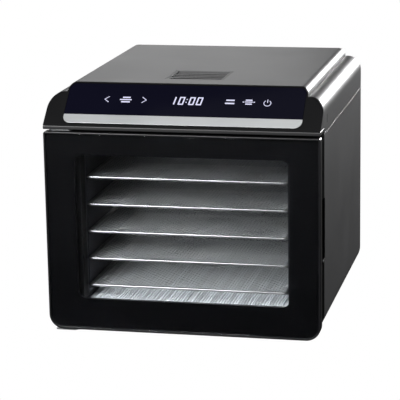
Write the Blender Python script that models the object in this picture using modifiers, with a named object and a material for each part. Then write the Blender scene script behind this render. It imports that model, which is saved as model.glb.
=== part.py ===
"""Food dehydrator: a countertop box with a glass door, five wire trays, a rear fan and a sloped touch panel.

Metres, +Z up. The origin is on the surface that the feet stand on, under the middle of the
bounding box. The door faces -Y and is hinged on its left edge, at -X.
"""
import math

import bmesh
import bpy
from mathutils import Euler, Matrix, Vector

# ---------------------------------------------------------------- overall size
WIDTH = 0.345              # across the side panels, and across the door
DEPTH = 0.370              # door glass to rear edge
HEIGHT = 0.3065            # body, from its underside to the raised top
FOOT_HEIGHT = 0.006        # gap under the body
JOIN_GAP = 0.0003          # between two pieces that touch
FIT_GAP = 0.0003           # between a pin or shaft and its hole

# ---------------------------------------------------------------- sheet housing
SHEET = 0.0008             # housing sheet thickness
LOWER_RADIUS = 0.027       # rounded lower long edges
SHOULDER_RADIUS = 0.018    # rounded upper long edges
RAISED_WIDTH = 0.302       # raised middle of the top
RAISED_STEP = 0.0105       # how far it stands above the shoulders
RAISED_RADIUS = 0.0095     # rounding along its long edges
REAR_RADIUS = 0.008        # rounding round the back
SEAM_HEIGHT = 0.2525       # joint of top cover and side panels, above the underside
SHEET_SETBACK = 0.030      # front edge of the side panels, behind the door's face
BOTTOM_RETURN = 0.012      # flat of each side panel under the body
REAR_LAND = 0.0033         # depth of the step that the rear cover lies in
REAR_FLANGE = 0.011        # flange that the rear cover is screwed to
CLIP_SLOT = (0.002, 0.010)  # slot in the top cover's sides: width, height
CLIP_SLOT_SETBACK = 0.053
CLIP_SLOT_HEIGHT = 0.268

# ---------------------------------------------------------------- control slope
FOLD_HEIGHT = 0.2605       # lower edge of the slope, above the underside
SLOPE_SETBACK = 0.052      # how far the slope leans back at its top
FASCIA_RIM = 0.002         # fascia thickness that shows outside the sheet
FASCIA_SPIGOT = 0.0035     # part of the fascia that plugs into the sheet
PANEL_BORDER = 0.002       # black border round glass and trim strip
PANEL_RECESS = 0.0018      # depth of the pocket for glass and trim strip
PANEL_GLASS = 0.0015       # control glass thickness
PANEL_CORNER = 0.009
STRIP_START = 0.005        # lower edge of the trim strip, up the slope
STRIP_WIDTH = 0.0138
STRIP_CORNER = 0.010
LIGHT_WINDOWS = ((-0.076, 0.062), (0.002, 0.050), (0.077, 0.066))  # centre, width
LIGHT_WINDOW_HEIGHT = 0.018
LIGHT_CENTRE = 0.0435      # middle of the symbols, up the slope
BOARD_THICKNESS = 0.0016

# ---------------------------------------------------------------- door
DOOR_HEIGHT = 0.2525
DOOR_THICKNESS = 0.0135
DOOR_CORNER = 0.0185       # lower corners
DOOR_TOP_CORNER = 0.003
DOOR_EDGE = 0.0012         # rounding of the door's rim
GLASS_RIM = 0.0024         # visible rim round the glass
GLASS_THICKNESS = 0.0030
WINDOW_WIDTH = 0.272
WINDOW_BOTTOM = 0.0390     # above the door's lower edge
WINDOW_TOP = 0.2257
WINDOW_CORNER = 0.011
DOOR_GAP = 0.0025          # door to the mouth rim
HINGE_INSET = 0.012        # hinge axis in from the door's left edge
HINGE_PIN = 0.0040         # diameter
HINGE_PIN_REACH = 0.012    # pin in the door
HINGE_PLATE = 0.0014
HEADER_HEIGHT = 0.005      # bar over the door

# ---------------------------------------------------------------- chamber and trays
TRAY_COUNT = 5
TRAY_WIDTH = 0.256
TRAY_DEPTH = 0.245
TRAY_SETBACK = 0.030       # tray front, behind the door's face
TRAY_FIRST = 0.0486        # underside of the lowest tray, above the body's underside
TRAY_PITCH = 0.0349
TRAY_RIM = 0.003           # rim height
TRAY_RIM_WIDTH = 0.005
TRAY_CORNER = 0.006
TRAY_SIDE_GAP = 0.001
RACK_WEB = 0.0008
RACK_LEDGE = 0.0072        # how far a ledge reaches under a tray
LEDGE_HEIGHT = 0.0022
LINER_SHEET = 0.0005
MESH_THICKNESS = 0.0012    # woven wire of a tray
SMALL_EDGE = 0.0005        # broken corners of fascia, glass and strip
FLOOR_HEIGHT = 0.032       # chamber floor, above the body's underside
HEADROOM = 0.0385          # top tray's underside to the ceiling
DRIP_SHEET = 0.0009
DRIP_LIP = 0.0022
DRIP_REACH = 0.008         # drip tray's front, ahead of the trays'
FRAME_DEPTH = 0.010        # front frame, behind the mouth rim
MOUTH_RIM = 0.016          # width of the raised rim round the mouth
MOUTH_RIM_DEPTH = 0.008
MOUTH_CORNER = 0.002
SEAL_WIDTH = 0.004
SEAL_OFFSET = 0.010        # seal's inner edge, out from the mouth
RETAINER_WIDTH = 0.0065
FINGER_BOTTOM = 0.097      # finger recess, above the underside
FINGER_TOP = 0.173
FINGER_REACH = 0.017       # in from the right side
FINGER_SETBACK = 0.005     # back from the side panel's front edge

# ---------------------------------------------------------------- fan and heater
BAFFLE_SETBACK = 0.284     # perforated rear wall, behind the door's face
BAFFLE_SHEET = 0.0008
FAN_RADIUS = 0.062
FAN_BLADES = 7
FAN_DEPTH = 0.018
FAN_CLEARANCE = 0.011      # baffle to fan
HUB_RADIUS = 0.013
SHAFT_RADIUS = 0.003
HEATER_RADIUS = 0.074
HEATER_TUBE = 0.0065       # diameter
MOTOR_RADIUS = 0.027
MOTOR_LENGTH = 0.024
BRACKET_STAND = 0.036      # motor bracket's bridge, behind the baffle
BRACKET_SHEET = 0.0015
BRACKET_HEIGHT = 0.036
BRACKET_FOOT = 0.013

# ---------------------------------------------------------------- rear, feet, vent
REAR_SHEET = 0.0018
SCREW_SHANK = 0.0030       # diameter
SCREW_HEAD = 0.0064        # diameter
SCREW_HEIGHTS = (0.045, 0.205)
REAR_SLOT = (0.034, 0.0035)
REAR_SLOT_ROWS = 9
REAR_SLOT_COLUMNS = 4
REAR_SLOT_PITCH = (0.044, 0.010)
CORD_POSITION = (0.118, 0.035)
CORD_BUSH_RADIUS = 0.008
VENT_WIDTH = 0.076
VENT_DEPTH = 0.064
VENT_SETBACK = 0.086       # front edge of the vent, behind the door's face
VENT_BARS = 5
VENT_SHEET = 0.002
FOOT_RADIUS = 0.009
FOOT_INSET = 0.050         # from the sides
FOOT_SETBACK = 0.055       # from front and back

# ---------------------------------------------------------------- worked out
FRONT = -DEPTH / 2
BACK = DEPTH / 2
SIDE = WIDTH / 2
UNDER = FOOT_HEIGHT
TOP = UNDER + HEIGHT
FOLD = UNDER + FOLD_HEIGHT
SEAM = UNDER + SEAM_HEIGHT
RAISED = RAISED_WIDTH / 2
SLOPE_ANGLE = math.atan2(TOP - FOLD, SLOPE_SETBACK)
SLOPE_LENGTH = math.hypot(TOP - FOLD, SLOPE_SETBACK)
CHAMBER = TRAY_WIDTH / 2 + TRAY_SIDE_GAP + RACK_WEB + JOIN_GAP
FLOOR = UNDER + FLOOR_HEIGHT
TRAY_BOTTOMS = [UNDER + TRAY_FIRST + TRAY_PITCH * number for number in range(TRAY_COUNT)]
CEILING = TRAY_BOTTOMS[-1] + HEADROOM
DOOR_BACK = FRONT + DOOR_THICKNESS
MOUTH = DOOR_BACK + DOOR_GAP
FRAME_FACE = MOUTH + MOUTH_RIM_DEPTH
FRAME_BACK = FRAME_FACE + FRAME_DEPTH
BAFFLE = FRONT + BAFFLE_SETBACK
BAFFLE_BACK = BAFFLE + BAFFLE_SHEET
FAN_Z = (FLOOR + CEILING) / 2
DOOR_AXIS = Vector((-SIDE + HINGE_INSET, FRONT + DOOR_THICKNESS / 2, UNDER))
HINGE_HOLE = HINGE_PIN / 2 + FIT_GAP
DOOR_TOP = UNDER + DOOR_HEIGHT
HEADER_BOTTOM = FOLD - HEADER_HEIGHT

FACING_FRONT = Euler((math.pi / 2, 0, 0))          # outline's (u, v) is (x, z)
FACING_SIDE = Euler((math.pi / 2, 0, math.pi / 2))  # outline's (u, v) is (y, z)
FACING_UP = Euler((0, 0, 0))
ON_SLOPE = Euler((SLOPE_ANGLE, 0, 0))              # outline's (u, v) is (x, up the slope)
SLOPE_ORIGIN = Vector((0, FRONT, FOLD))

for old in list(bpy.data.objects):
    bpy.data.objects.remove(old)


def new_collection(name):
    collection = bpy.data.collections.new(name)
    bpy.context.scene.collection.children.link(collection)
    return collection


PARTS = new_collection("food_dehydrator")
CUTTERS = new_collection("cutters")


def new_material(name, colour, roughness, metallic):
    material = bpy.data.materials.new(name)
    material.use_nodes = True
    shader = material.node_tree.nodes["Principled BSDF"]
    shader.inputs["Base Color"].default_value = (*colour, 1)
    shader.inputs["Roughness"].default_value = roughness
    shader.inputs["Metallic"].default_value = metallic
    return material


GREY_METAL = new_material("grey_metal", (0.17, 0.17, 0.18), 0.35, 0.9)
BLACK_PLASTIC = new_material("black_plastic", (0.012, 0.012, 0.013), 0.35, 0.0)
BLACK_GLASS = new_material("black_glass", (0.006, 0.006, 0.012), 0.05, 0.0)
DOOR_GLASS = new_material("door_glass", (0.010, 0.010, 0.014), 0.03, 0.0)
ALUMINIUM = new_material("aluminium", (0.58, 0.60, 0.61), 0.30, 1.0)
STAINLESS = new_material("stainless", (0.62, 0.61, 0.60), 0.25, 1.0)
ZINC = new_material("zinc", (0.45, 0.46, 0.47), 0.40, 1.0)
RUBBER = new_material("rubber", (0.02, 0.02, 0.02), 0.80, 0.0)
SILICONE = new_material("silicone", (0.08, 0.08, 0.08), 0.60, 0.0)
BOARD_GREEN = new_material("board_green", (0.02, 0.10, 0.04), 0.50, 0.0)
MAGNET = new_material("magnet", (0.05, 0.05, 0.05), 0.60, 0.3)


# ---------------------------------------------------------------- tools of the bench
def arc(centre, radius, start, end, steps=6):
    """Points of a circular arc, angles in degrees."""
    points = []
    for step in range(steps + 1):
        angle = math.radians(start + (end - start) * step / steps)
        points.append((centre[0] + radius * math.cos(angle), centre[1] + radius * math.sin(angle)))
    return points


def rounded(low, high, lower_corner, upper_corner=None):
    """Rectangle between two corners, with its lower and upper corners rounded."""
    upper = lower_corner if upper_corner is None else upper_corner
    left, bottom = low
    right, top = high
    return (arc((right - lower_corner, bottom + lower_corner), lower_corner, -90, 0)
            + arc((right - upper, top - upper), upper, 0, 90)
            + arc((left + upper, top - upper), upper, 90, 180)
            + arc((left + lower_corner, bottom + lower_corner), lower_corner, 180, 270))


def rectangle(centre, width, height):
    u, v = centre
    return [(u - width / 2, v - height / 2), (u + width / 2, v - height / 2),
            (u + width / 2, v + height / 2), (u - width / 2, v + height / 2)]


def circle(centre, radius, steps=16):
    return arc(centre, radius, 0, 360 * (steps - 1) / steps, steps - 1)


def finish(name, mesh, material, place, turn, parent, collection):
    piece = bpy.data.objects.new(name, mesh)
    collection.objects.link(piece)
    piece.rotation_euler = turn
    piece.location = Vector(place)
    if parent is not None:
        piece.parent = parent
        piece.location -= parent.location
    if material is not None:
        mesh.materials.clear()
        mesh.materials.append(material)
    mesh.set_sharp_from_angle(angle=math.radians(35))
    return piece


def plate(name, outline, thickness, place, turn, material=None, holes=(), parent=None, collection=PARTS):
    """Flat piece: a filled 2D outline, made a mesh so that it can be cut. Its middle plane is at place."""
    curve = bpy.data.curves.new(name, "CURVE")
    curve.dimensions = "2D"
    curve.fill_mode = "BOTH"
    curve.extrude = thickness / 2
    for loop in (outline, *holes):
        spline = curve.splines.new("POLY")
        spline.points.add(len(loop) - 1)
        for point, (u, v) in zip(spline.points, loop):
            point.co = (u, v, 0, 1)
        spline.use_cyclic_u = True
    drawn = bpy.data.objects.new(name + "_outline", curve)
    PARTS.objects.link(drawn)
    graph = bpy.context.evaluated_depsgraph_get()
    mesh = bpy.data.meshes.new_from_object(drawn.evaluated_get(graph))
    bpy.data.objects.remove(drawn)
    shape = bmesh.new()
    shape.from_mesh(mesh)
    bmesh.ops.remove_doubles(shape, verts=shape.verts, dist=0.00001)
    bmesh.ops.recalc_face_normals(shape, faces=shape.faces)
    shape.to_mesh(mesh)
    shape.free()
    return finish(name, mesh, material, place, turn, parent, collection)


def box(name, low, high, material=None, bevel=0.0, parent=None, collection=PARTS, turn=FACING_UP,
        origin=(0, 0, 0)):
    """Block between two corners, given from origin along the axes that turn sets."""
    low = Vector(low)
    high = Vector(high)
    shape = bmesh.new()
    bmesh.ops.create_cube(shape, size=1.0)
    bmesh.ops.scale(shape, vec=high - low, verts=shape.verts)
    bmesh.ops.translate(shape, vec=(low + high) / 2, verts=shape.verts)
    mesh = bpy.data.meshes.new(name)
    shape.to_mesh(mesh)
    shape.free()
    piece = finish(name, mesh, material, origin, turn, parent, collection)
    if bevel:
        soften(piece, bevel)
    return piece


def turned(name, profile, place, turn, material=None, parent=None, steps=24, collection=PARTS):
    """Turned piece: a profile of (radius, height), down its outer side, spun round the local Z."""
    mesh = bpy.data.meshes.new(name)
    closed = profile[0][0] > 0
    edges = [(index, index + 1) for index in range(len(profile) - 1)]
    if closed:
        edges.append((len(profile) - 1, 0))
    mesh.from_pydata([(radius, 0, height) for radius, height in profile], edges, [])
    piece = finish(name, mesh, material, place, turn, parent, collection)
    spin = piece.modifiers.new("turn", "SCREW")
    spin.steps = steps
    spin.render_steps = steps
    spin.use_merge_vertices = True
    spin.merge_threshold = 0.00001
    return piece


def drill(name, radius, top, bottom, place, turn):
    """Round cutter between two heights along the local Z."""
    profile = [(0, top), (radius, top), (radius, bottom), (0, bottom)]
    return turned(name, profile, place, turn, steps=16, collection=CUTTERS)


def soften(piece, width, segments=2):
    bevel = piece.modifiers.new("edges", "BEVEL")
    bevel.width = width
    bevel.segments = segments
    bevel.limit_method = "ANGLE"
    bevel.angle_limit = math.radians(40)
    return bevel


def combine(piece, tool, operation):
    """Cut a piece with a tool, or join the tool to it."""
    tool.hide_render = True
    tool.display_type = "WIRE"
    step = piece.modifiers.new(tool.name, "BOOLEAN")
    step.operation = operation
    step.object = tool


def cut(piece, tool):
    combine(piece, tool, "DIFFERENCE")


def join(piece, tool):
    combine(piece, tool, "UNION")


def loft(name, rings, material, capped):
    """Skin over rings that all have the same number of points, right round or open at both ends."""
    shape = bmesh.new()
    rows = [[shape.verts.new(point) for point in ring] for ring in rings]
    count = len(rows[0])
    for near, far in zip(rows, rows[1:]):
        for index in range(count if capped else count - 1):
            after = (index + 1) % count
            shape.faces.new((near[index], near[after], far[after], far[index]))
    if capped:
        shape.faces.new(rows[0])
        shape.faces.new(rows[-1])
    bmesh.ops.recalc_face_normals(shape, faces=shape.faces)
    mesh = bpy.data.meshes.new(name)
    shape.to_mesh(mesh)
    shape.free()
    return finish(name, mesh, material, (0, 0, 0), FACING_UP, None, PARTS)


def thicken(piece, thickness):
    """Sheet metal: the skin is the outer face, and the thickness goes inwards."""
    wall = piece.modifiers.new("sheet", "SOLIDIFY")
    wall.thickness = thickness
    wall.offset = -1
    wall.use_even_offset = True
    wall.use_quality_normals = True


def empty(name, place):
    axis = bpy.data.objects.new(name, None)
    axis.location = place
    PARTS.objects.link(axis)
    return axis


# ---------------------------------------------------------------- housing section
def slope_y(height):
    """Y of the control slope's face at a height; the body's front face below the fold."""
    return FRONT + max(0.0, height - FOLD) * SLOPE_SETBACK / (TOP - FOLD)


def top_section(inset, lowest):
    """Half of the top's section, right side, from its lower edge up to the middle plane: (x, z)."""
    shoulder = TOP - RAISED_STEP
    upper_radius = min(RAISED_RADIUS, RAISED_STEP - JOIN_GAP)
    points = [(SIDE - inset, height) for height in lowest]
    points += arc((SIDE - SHOULDER_RADIUS, shoulder - SHOULDER_RADIUS), SHOULDER_RADIUS - inset, 0, 90)
    points += [(RAISED - inset, shoulder - inset)]
    points += arc((RAISED - upper_radius, TOP - upper_radius), upper_radius - inset, 0, 90)
    return points


def mirrored(points):
    return points + [(-x, z) for x, z in reversed(points)]


def rear_rings(steps=4):
    """(inset, y) of the rounding round the back."""
    rings = []
    for step in range(steps + 1):
        angle = math.pi / 2 * step / steps
        rings.append((REAR_RADIUS * (1 - math.cos(angle)), BACK - REAR_RADIUS * (1 - math.sin(angle))))
    return rings


def top_cover():
    """Pressed steel top: raised middle, two shoulders, and sides down to the seam."""
    behind_rim = FASCIA_RIM + JOIN_GAP
    lowest = [SEAM + JOIN_GAP / 2, FOLD + JOIN_GAP, FOLD + 2 * JOIN_GAP]

    def front(height):
        if height <= FOLD + 1.5 * JOIN_GAP:
            return FRONT + SHEET_SETBACK
        return slope_y(height) + behind_rim

    rings = [[(x, front(z), z) for x, z in mirrored(top_section(0, lowest))]]
    for inset, y in rear_rings():
        rings.append([(x, y, z) for x, z in mirrored(top_section(inset, lowest))])
    cover = loft("top_cover", rings, GREY_METAL, False)
    thicken(cover, SHEET)
    opening = plate("vent_opening", vent_outline(0), 0.02, (0, 0, TOP), FACING_UP, collection=CUTTERS)
    cut(cover, opening)
    width, height = CLIP_SLOT
    y = FRONT + CLIP_SLOT_SETBACK
    z = UNDER + CLIP_SLOT_HEIGHT
    slots = box("clip_slots", (-WIDTH, y - width / 2, z - height / 2), (WIDTH, y + width / 2, z + height / 2),
                collection=CUTTERS)
    cut(cover, slots)


def side_panel(name, hand):
    """Side sheet with a rounded lower edge, a return under the body and a rear flange."""
    def section(inset):
        points = [(SIDE - inset, SEAM - JOIN_GAP / 2)]
        centre = (SIDE - LOWER_RADIUS, UNDER + LOWER_RADIUS)
        points += arc(centre, LOWER_RADIUS - inset, 0, -90)
        points += [(SIDE - LOWER_RADIUS - BOTTOM_RETURN, UNDER + inset)]
        return [(hand * x, z) for x, z in points]

    path = [(0, FRONT + SHEET_SETBACK)] + rear_rings()
    path += [(REAR_RADIUS, BACK - REAR_LAND), (REAR_RADIUS + REAR_FLANGE, BACK - REAR_LAND)]
    rings = [[(x, y, z) for x, z in section(inset)] for inset, y in path]
    panel = loft(name, rings, GREY_METAL, False)
    if outward_points_in(panel):
        panel.data.flip_normals()
    thicken(panel, SHEET)
    for number, height in enumerate(SCREW_HEIGHTS):
        place = (hand * screw_x(), BACK - REAR_LAND, UNDER + height)
        radius = SCREW_SHANK / 2 + FIT_GAP
        cut(panel, drill(f"{name}_screw_hole_{number}", radius, 0.01, -0.01, place, FACING_FRONT))
    return panel


def outward_points_in(piece):
    """True where an open skin's first face looks towards the middle of the body."""
    face = piece.data.polygons[0]
    return face.normal.x * face.center.x < 0


def screw_x():
    return SIDE - REAR_RADIUS - REAR_FLANGE / 2


def base_plate():
    """Underside sheet between the side panels' returns, turned up at the back."""
    half = SIDE - LOWER_RADIUS - BOTTOM_RETURN - JOIN_GAP
    path = [(0, FRAME_BACK + JOIN_GAP)] + rear_rings()
    rings = [[(half, y, UNDER + inset), (-half, y, UNDER + inset)] for inset, y in path]
    base = loft("base_plate", rings, ZINC, False)
    if base.data.polygons[0].normal.z > 0:
        base.data.flip_normals()
    thicken(base, SHEET)


def rear_outline(inset):
    """Outline of the opening at the back, seen from the front: top cover's section over the sides'."""
    centre = (SIDE - LOWER_RADIUS, UNDER + LOWER_RADIUS)
    right = arc(centre, LOWER_RADIUS - inset, -90, 0)
    right += top_section(inset, [])
    return mirrored(right)


def rear_cover():
    """Plain rear plate with rows of air slots, in the step round the back."""
    width, height = REAR_SLOT
    across, down = REAR_SLOT_PITCH
    holes = []
    for row in range(REAR_SLOT_ROWS):
        z = FAN_Z + (row - (REAR_SLOT_ROWS - 1) / 2) * down
        for column in range(REAR_SLOT_COLUMNS):
            x = (column - (REAR_SLOT_COLUMNS - 1) / 2) * across
            holes.append(rectangle((x, z), width, height))
    for x in (-screw_x(), screw_x()):
        holes += [circle((x, UNDER + height), SCREW_SHANK / 2 + FIT_GAP, 12) for height in SCREW_HEIGHTS]
    x, height = CORD_POSITION
    holes.append(circle((x, UNDER + height), CORD_BUSH_RADIUS + FIT_GAP))
    middle = BACK - REAR_LAND + JOIN_GAP + REAR_SHEET / 2
    plate("rear_cover", rear_outline(REAR_RADIUS + JOIN_GAP), REAR_SHEET, (0, middle, 0), FACING_FRONT,
          BLACK_PLASTIC, holes)


def rear_screws():
    """Four pan head screws through the rear cover into the side panels' flanges."""
    face = BACK - REAR_LAND + 2 * JOIN_GAP + REAR_SHEET
    head = BACK - face
    places = [(x, height) for x in (-screw_x(), screw_x()) for height in SCREW_HEIGHTS]
    for number, (x, height) in enumerate(places, 1):
        turned(f"rear_screw_{number}", [(0, head), (SCREW_HEAD / 2 * 0.8, head), (SCREW_HEAD / 2, head * 0.4),
               (SCREW_HEAD / 2, 0), (SCREW_SHANK / 2, 0), (SCREW_SHANK / 2, -0.008), (0, -0.008)],
               (x, face, UNDER + height), Euler((-math.pi / 2, 0, 0)), ZINC, steps=12)


def cord_inlet():
    """Strain relief bush in the rear cover, where the mains lead goes in."""
    outer = BACK - REAR_LAND + JOIN_GAP + REAR_SHEET
    lip = BACK - outer - JOIN_GAP
    x, height = CORD_POSITION
    bore = 0.0038
    turned("cord_inlet", [(bore, lip), (CORD_BUSH_RADIUS + 0.002, lip), (CORD_BUSH_RADIUS + 0.002, 0),
           (CORD_BUSH_RADIUS, 0), (CORD_BUSH_RADIUS, -0.012), (bore, -0.012)],
           (x, outer + JOIN_GAP, UNDER + height), Euler((-math.pi / 2, 0, 0)), BLACK_PLASTIC, steps=20)


def feet():
    """Four rubber feet under the base."""
    across = SIDE - FOOT_INSET
    along = BACK - FOOT_SETBACK
    top = UNDER - JOIN_GAP
    profile = [(0, top), (FOOT_RADIUS, top), (FOOT_RADIUS, 0.0015), (FOOT_RADIUS - 0.001, 0), (0, 0)]
    places = [(x, y) for y in (-along, along) for x in (-across, across)]
    for number, (x, y) in enumerate(places, 1):
        turned(f"foot_{number}", profile, (x, y, 0), FACING_UP, RUBBER)


def vent_outline(shrink):
    low = (-VENT_WIDTH / 2 + shrink, FRONT + VENT_SETBACK + shrink)
    high = (VENT_WIDTH / 2 - shrink, FRONT + VENT_SETBACK + VENT_DEPTH - shrink)
    return rounded(low, high, 0.002)


def vent_grille():
    """Black louvred grille that drops into the opening of the top cover."""
    rim = 0.004
    pitch = (VENT_DEPTH - 2 * rim) / VENT_BARS
    holes = []
    for number in range(VENT_BARS):
        middle = FRONT + VENT_SETBACK + rim + pitch * (number + 0.5)
        holes.append(rectangle((0, middle), VENT_WIDTH - 2 * rim, pitch * 0.6))
    middle = TOP - JOIN_GAP - VENT_SHEET / 2
    plate("vent_grille", vent_outline(JOIN_GAP), VENT_SHEET, (0, 0, middle), FACING_UP, BLACK_PLASTIC, holes)


# ---------------------------------------------------------------- control panel
def control_fascia():
    """Moulded front of the control head: its rim covers the sheet's edge and its spigot goes inside."""
    inside = SHEET + FIT_GAP
    spigot_end = FASCIA_RIM + FASCIA_SPIGOT
    steps = [(SMALL_EDGE, 0.0), (0, SMALL_EDGE), (0, FASCIA_RIM), (inside, FASCIA_RIM), (inside, spigot_end)]
    rings = []
    for inset, behind in steps:
        section = mirrored(top_section(inset, [FOLD + inset]))
        rings.append([(x, slope_y(z) + behind, z) for x, z in section])
    fascia = loft("control_fascia", rings, BLACK_PLASTIC, True)
    pocket = plate("panel_pocket", panel_outline(0), 2 * PANEL_RECESS, SLOPE_ORIGIN, ON_SLOPE,
                   collection=CUTTERS)
    cut(fascia, pocket)
    low = LIGHT_CENTRE - LIGHT_WINDOW_HEIGHT / 2
    high = LIGHT_CENTRE + LIGHT_WINDOW_HEIGHT / 2
    for number, (centre, width) in enumerate(LIGHT_WINDOWS):
        left = centre - width / 2
        window = box(f"light_window_{number}", (left, low, -0.02), (left + width, high, 0.01), turn=ON_SLOPE,
                     origin=SLOPE_ORIGIN, collection=CUTTERS)
        cut(fascia, window)


def panel_outline(shrink):
    """Outline of glass and trim strip together, on the slope."""
    half = RAISED - PANEL_BORDER - shrink
    low = (-half, STRIP_START + shrink)
    high = (half, SLOPE_LENGTH - PANEL_BORDER - shrink)
    return rounded(low, high, STRIP_CORNER - shrink, PANEL_CORNER - shrink)


def strip_top():
    return STRIP_START + STRIP_WIDTH


def glass_middle():
    """Middle plane of glass and trim strip, whose faces lie on the slope."""
    return SLOPE_ORIGIN - ON_SLOPE.to_matrix() @ Vector((0, 0, PANEL_GLASS / 2))


def control_glass():
    """Smoked touch glass over the upper part of the slope."""
    half = RAISED - PANEL_BORDER - JOIN_GAP
    outline = rounded((-half, strip_top() + JOIN_GAP), (half, SLOPE_LENGTH - PANEL_BORDER - JOIN_GAP), SMALL_EDGE,
                      PANEL_CORNER - JOIN_GAP)
    plate("control_glass", outline, PANEL_GLASS, glass_middle(), ON_SLOPE, BLACK_GLASS)


def trim_strip():
    """Brushed aluminium strip under the glass."""
    half = RAISED - PANEL_BORDER - JOIN_GAP
    outline = rounded((-half, STRIP_START + JOIN_GAP), (half, strip_top()), STRIP_CORNER - JOIN_GAP, SMALL_EDGE)
    plate("trim_strip", outline, PANEL_GLASS, glass_middle(), ON_SLOPE, ALUMINIUM)


def control_electronics():
    """Touch and display board behind the fascia, with the display on it, in the middle window."""
    fascia_depth = (FASCIA_RIM + FASCIA_SPIGOT) * math.sin(SLOPE_ANGLE)
    board_top = -fascia_depth - JOIN_GAP
    board_half = RAISED - 0.030
    box("control_board", (-board_half, LIGHT_CENTRE - 0.018, board_top - BOARD_THICKNESS),
        (board_half, LIGHT_CENTRE + 0.014, board_top), BOARD_GREEN, turn=ON_SLOPE, origin=SLOPE_ORIGIN)
    centre, width = LIGHT_WINDOWS[1]
    half = width / 2 - FIT_GAP
    half_height = LIGHT_WINDOW_HEIGHT / 2 - FIT_GAP
    box("display_module", (centre - half, LIGHT_CENTRE - half_height, board_top + JOIN_GAP),
        (centre + half, LIGHT_CENTRE + half_height, -PANEL_RECESS - JOIN_GAP), BLACK_PLASTIC, turn=ON_SLOPE,
        origin=SLOPE_ORIGIN)


def door_header():
    """Bar across the front, between the control slope and the door."""
    back = FRONT + SHEET_SETBACK - JOIN_GAP
    bar = box("door_header", (-SIDE, FRONT, HEADER_BOTTOM), (SIDE, back, FOLD - JOIN_GAP), BLACK_PLASTIC)
    soften(bar, 0.0008)


# ---------------------------------------------------------------- chamber
def frame_top():
    """Top of the front frame, under the upper hinge plate."""
    return HEADER_BOTTOM - HINGE_PLATE - 2 * JOIN_GAP


def mouth_outline(grow):
    low = (-CHAMBER - grow, FLOOR - grow)
    high = (CHAMBER + grow, CEILING + grow)
    return rounded(low, high, MOUTH_CORNER + grow)


def finger_tool(name, margin, front, back, collection):
    """Block round the finger recess at the right edge, grown by margin."""
    low = (SIDE - FINGER_REACH - margin, front, UNDER + FINGER_BOTTOM - margin)
    high = (SIDE - SHEET - FIT_GAP if margin else SIDE + 0.01, back, UNDER + FINGER_TOP + margin)
    return box(name, low, high, bevel=0.004, collection=collection)


def front_frame():
    """Moulded frame between the housing and the chamber, with a raised rim that the door seals on."""
    inset = SHEET + FIT_GAP
    half = SIDE - inset
    outline = rounded((-half, UNDER + inset), (half, frame_top()), LOWER_RADIUS - inset, 0.002)
    place = (0, (FRAME_FACE + FRAME_BACK) / 2, 0)
    frame = plate("front_frame", outline, FRAME_DEPTH, place, FACING_FRONT, BLACK_PLASTIC, [mouth_outline(0)])
    depth = MOUTH_RIM_DEPTH + FRAME_DEPTH / 2
    rim = plate("mouth_rim", mouth_outline(MOUTH_RIM), depth, (0, MOUTH + depth / 2, 0), FACING_FRONT,
                holes=[mouth_outline(0)], collection=CUTTERS)
    join(frame, rim)
    wall = 0.003
    recess_back = FRONT + SHEET_SETBACK + FINGER_SETBACK
    cup = finger_tool("finger_cup", wall, FRAME_FACE + wall, recess_back + wall, CUTTERS)
    join(frame, cup)
    recess = finger_tool("finger_recess", 0, FRONT, recess_back, CUTTERS)
    cut(frame, recess)
    return recess


def chamber_liner():
    """Four stainless sheets round the chamber."""
    start = FRAME_BACK + JOIN_GAP
    end = BAFFLE - JOIN_GAP
    for name, hand in (("liner_left", -1), ("liner_right", 1)):
        near = hand * CHAMBER
        far = hand * (CHAMBER + LINER_SHEET)
        box(name, (min(near, far), start, FLOOR), (max(near, far), end, CEILING), STAINLESS)
    half = CHAMBER + LINER_SHEET
    above = CEILING + JOIN_GAP
    below = FLOOR - JOIN_GAP
    box("liner_ceiling", (-half, start, above), (half, end, above + LINER_SHEET), STAINLESS)
    box("liner_floor", (-half, start, below - LINER_SHEET), (half, end, below), STAINLESS)


def tray_racks():
    """Comb-shaped side racks whose ledges carry the trays."""
    web_top = CEILING - 0.010
    web_bottom = FLOOR + 0.010
    outer = CHAMBER - JOIN_GAP
    inner = outer - RACK_WEB
    start = FRONT + TRAY_SETBACK + 0.010
    end = BAFFLE - 0.006
    for name, hand in (("rack_left", -1), ("rack_right", 1)):
        comb = [(hand * outer, web_bottom), (hand * outer, web_top), (hand * inner, web_top)]
        for bottom in reversed(TRAY_BOTTOMS):
            top = bottom - JOIN_GAP
            comb += [(hand * inner, top), (hand * (inner - RACK_LEDGE), top),
                     (hand * (inner - RACK_LEDGE), top - LEDGE_HEIGHT), (hand * inner, top - LEDGE_HEIGHT)]
        comb += [(hand * inner, web_bottom)]
        plate(name, comb, end - start, (0, (start + end) / 2, 0), FACING_FRONT, STAINLESS)


def tray(number, bottom):
    """Wire tray: a folded stainless rim with a mesh sheet inside it."""
    front = FRONT + TRAY_SETBACK
    half = TRAY_WIDTH / 2

    def outline(shrink):
        return rounded((-half + shrink, front + shrink), (half - shrink, front + TRAY_DEPTH - shrink),
                       TRAY_CORNER - shrink)

    middle = (0, 0, bottom + TRAY_RIM / 2)
    plate(f"tray_frame_{number}", outline(0), TRAY_RIM, middle, FACING_UP, STAINLESS, [outline(TRAY_RIM_WIDTH)])
    plate(f"tray_mesh_{number}", outline(TRAY_RIM_WIDTH + FIT_GAP), MESH_THICKNESS, middle, FACING_UP, STAINLESS)


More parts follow.
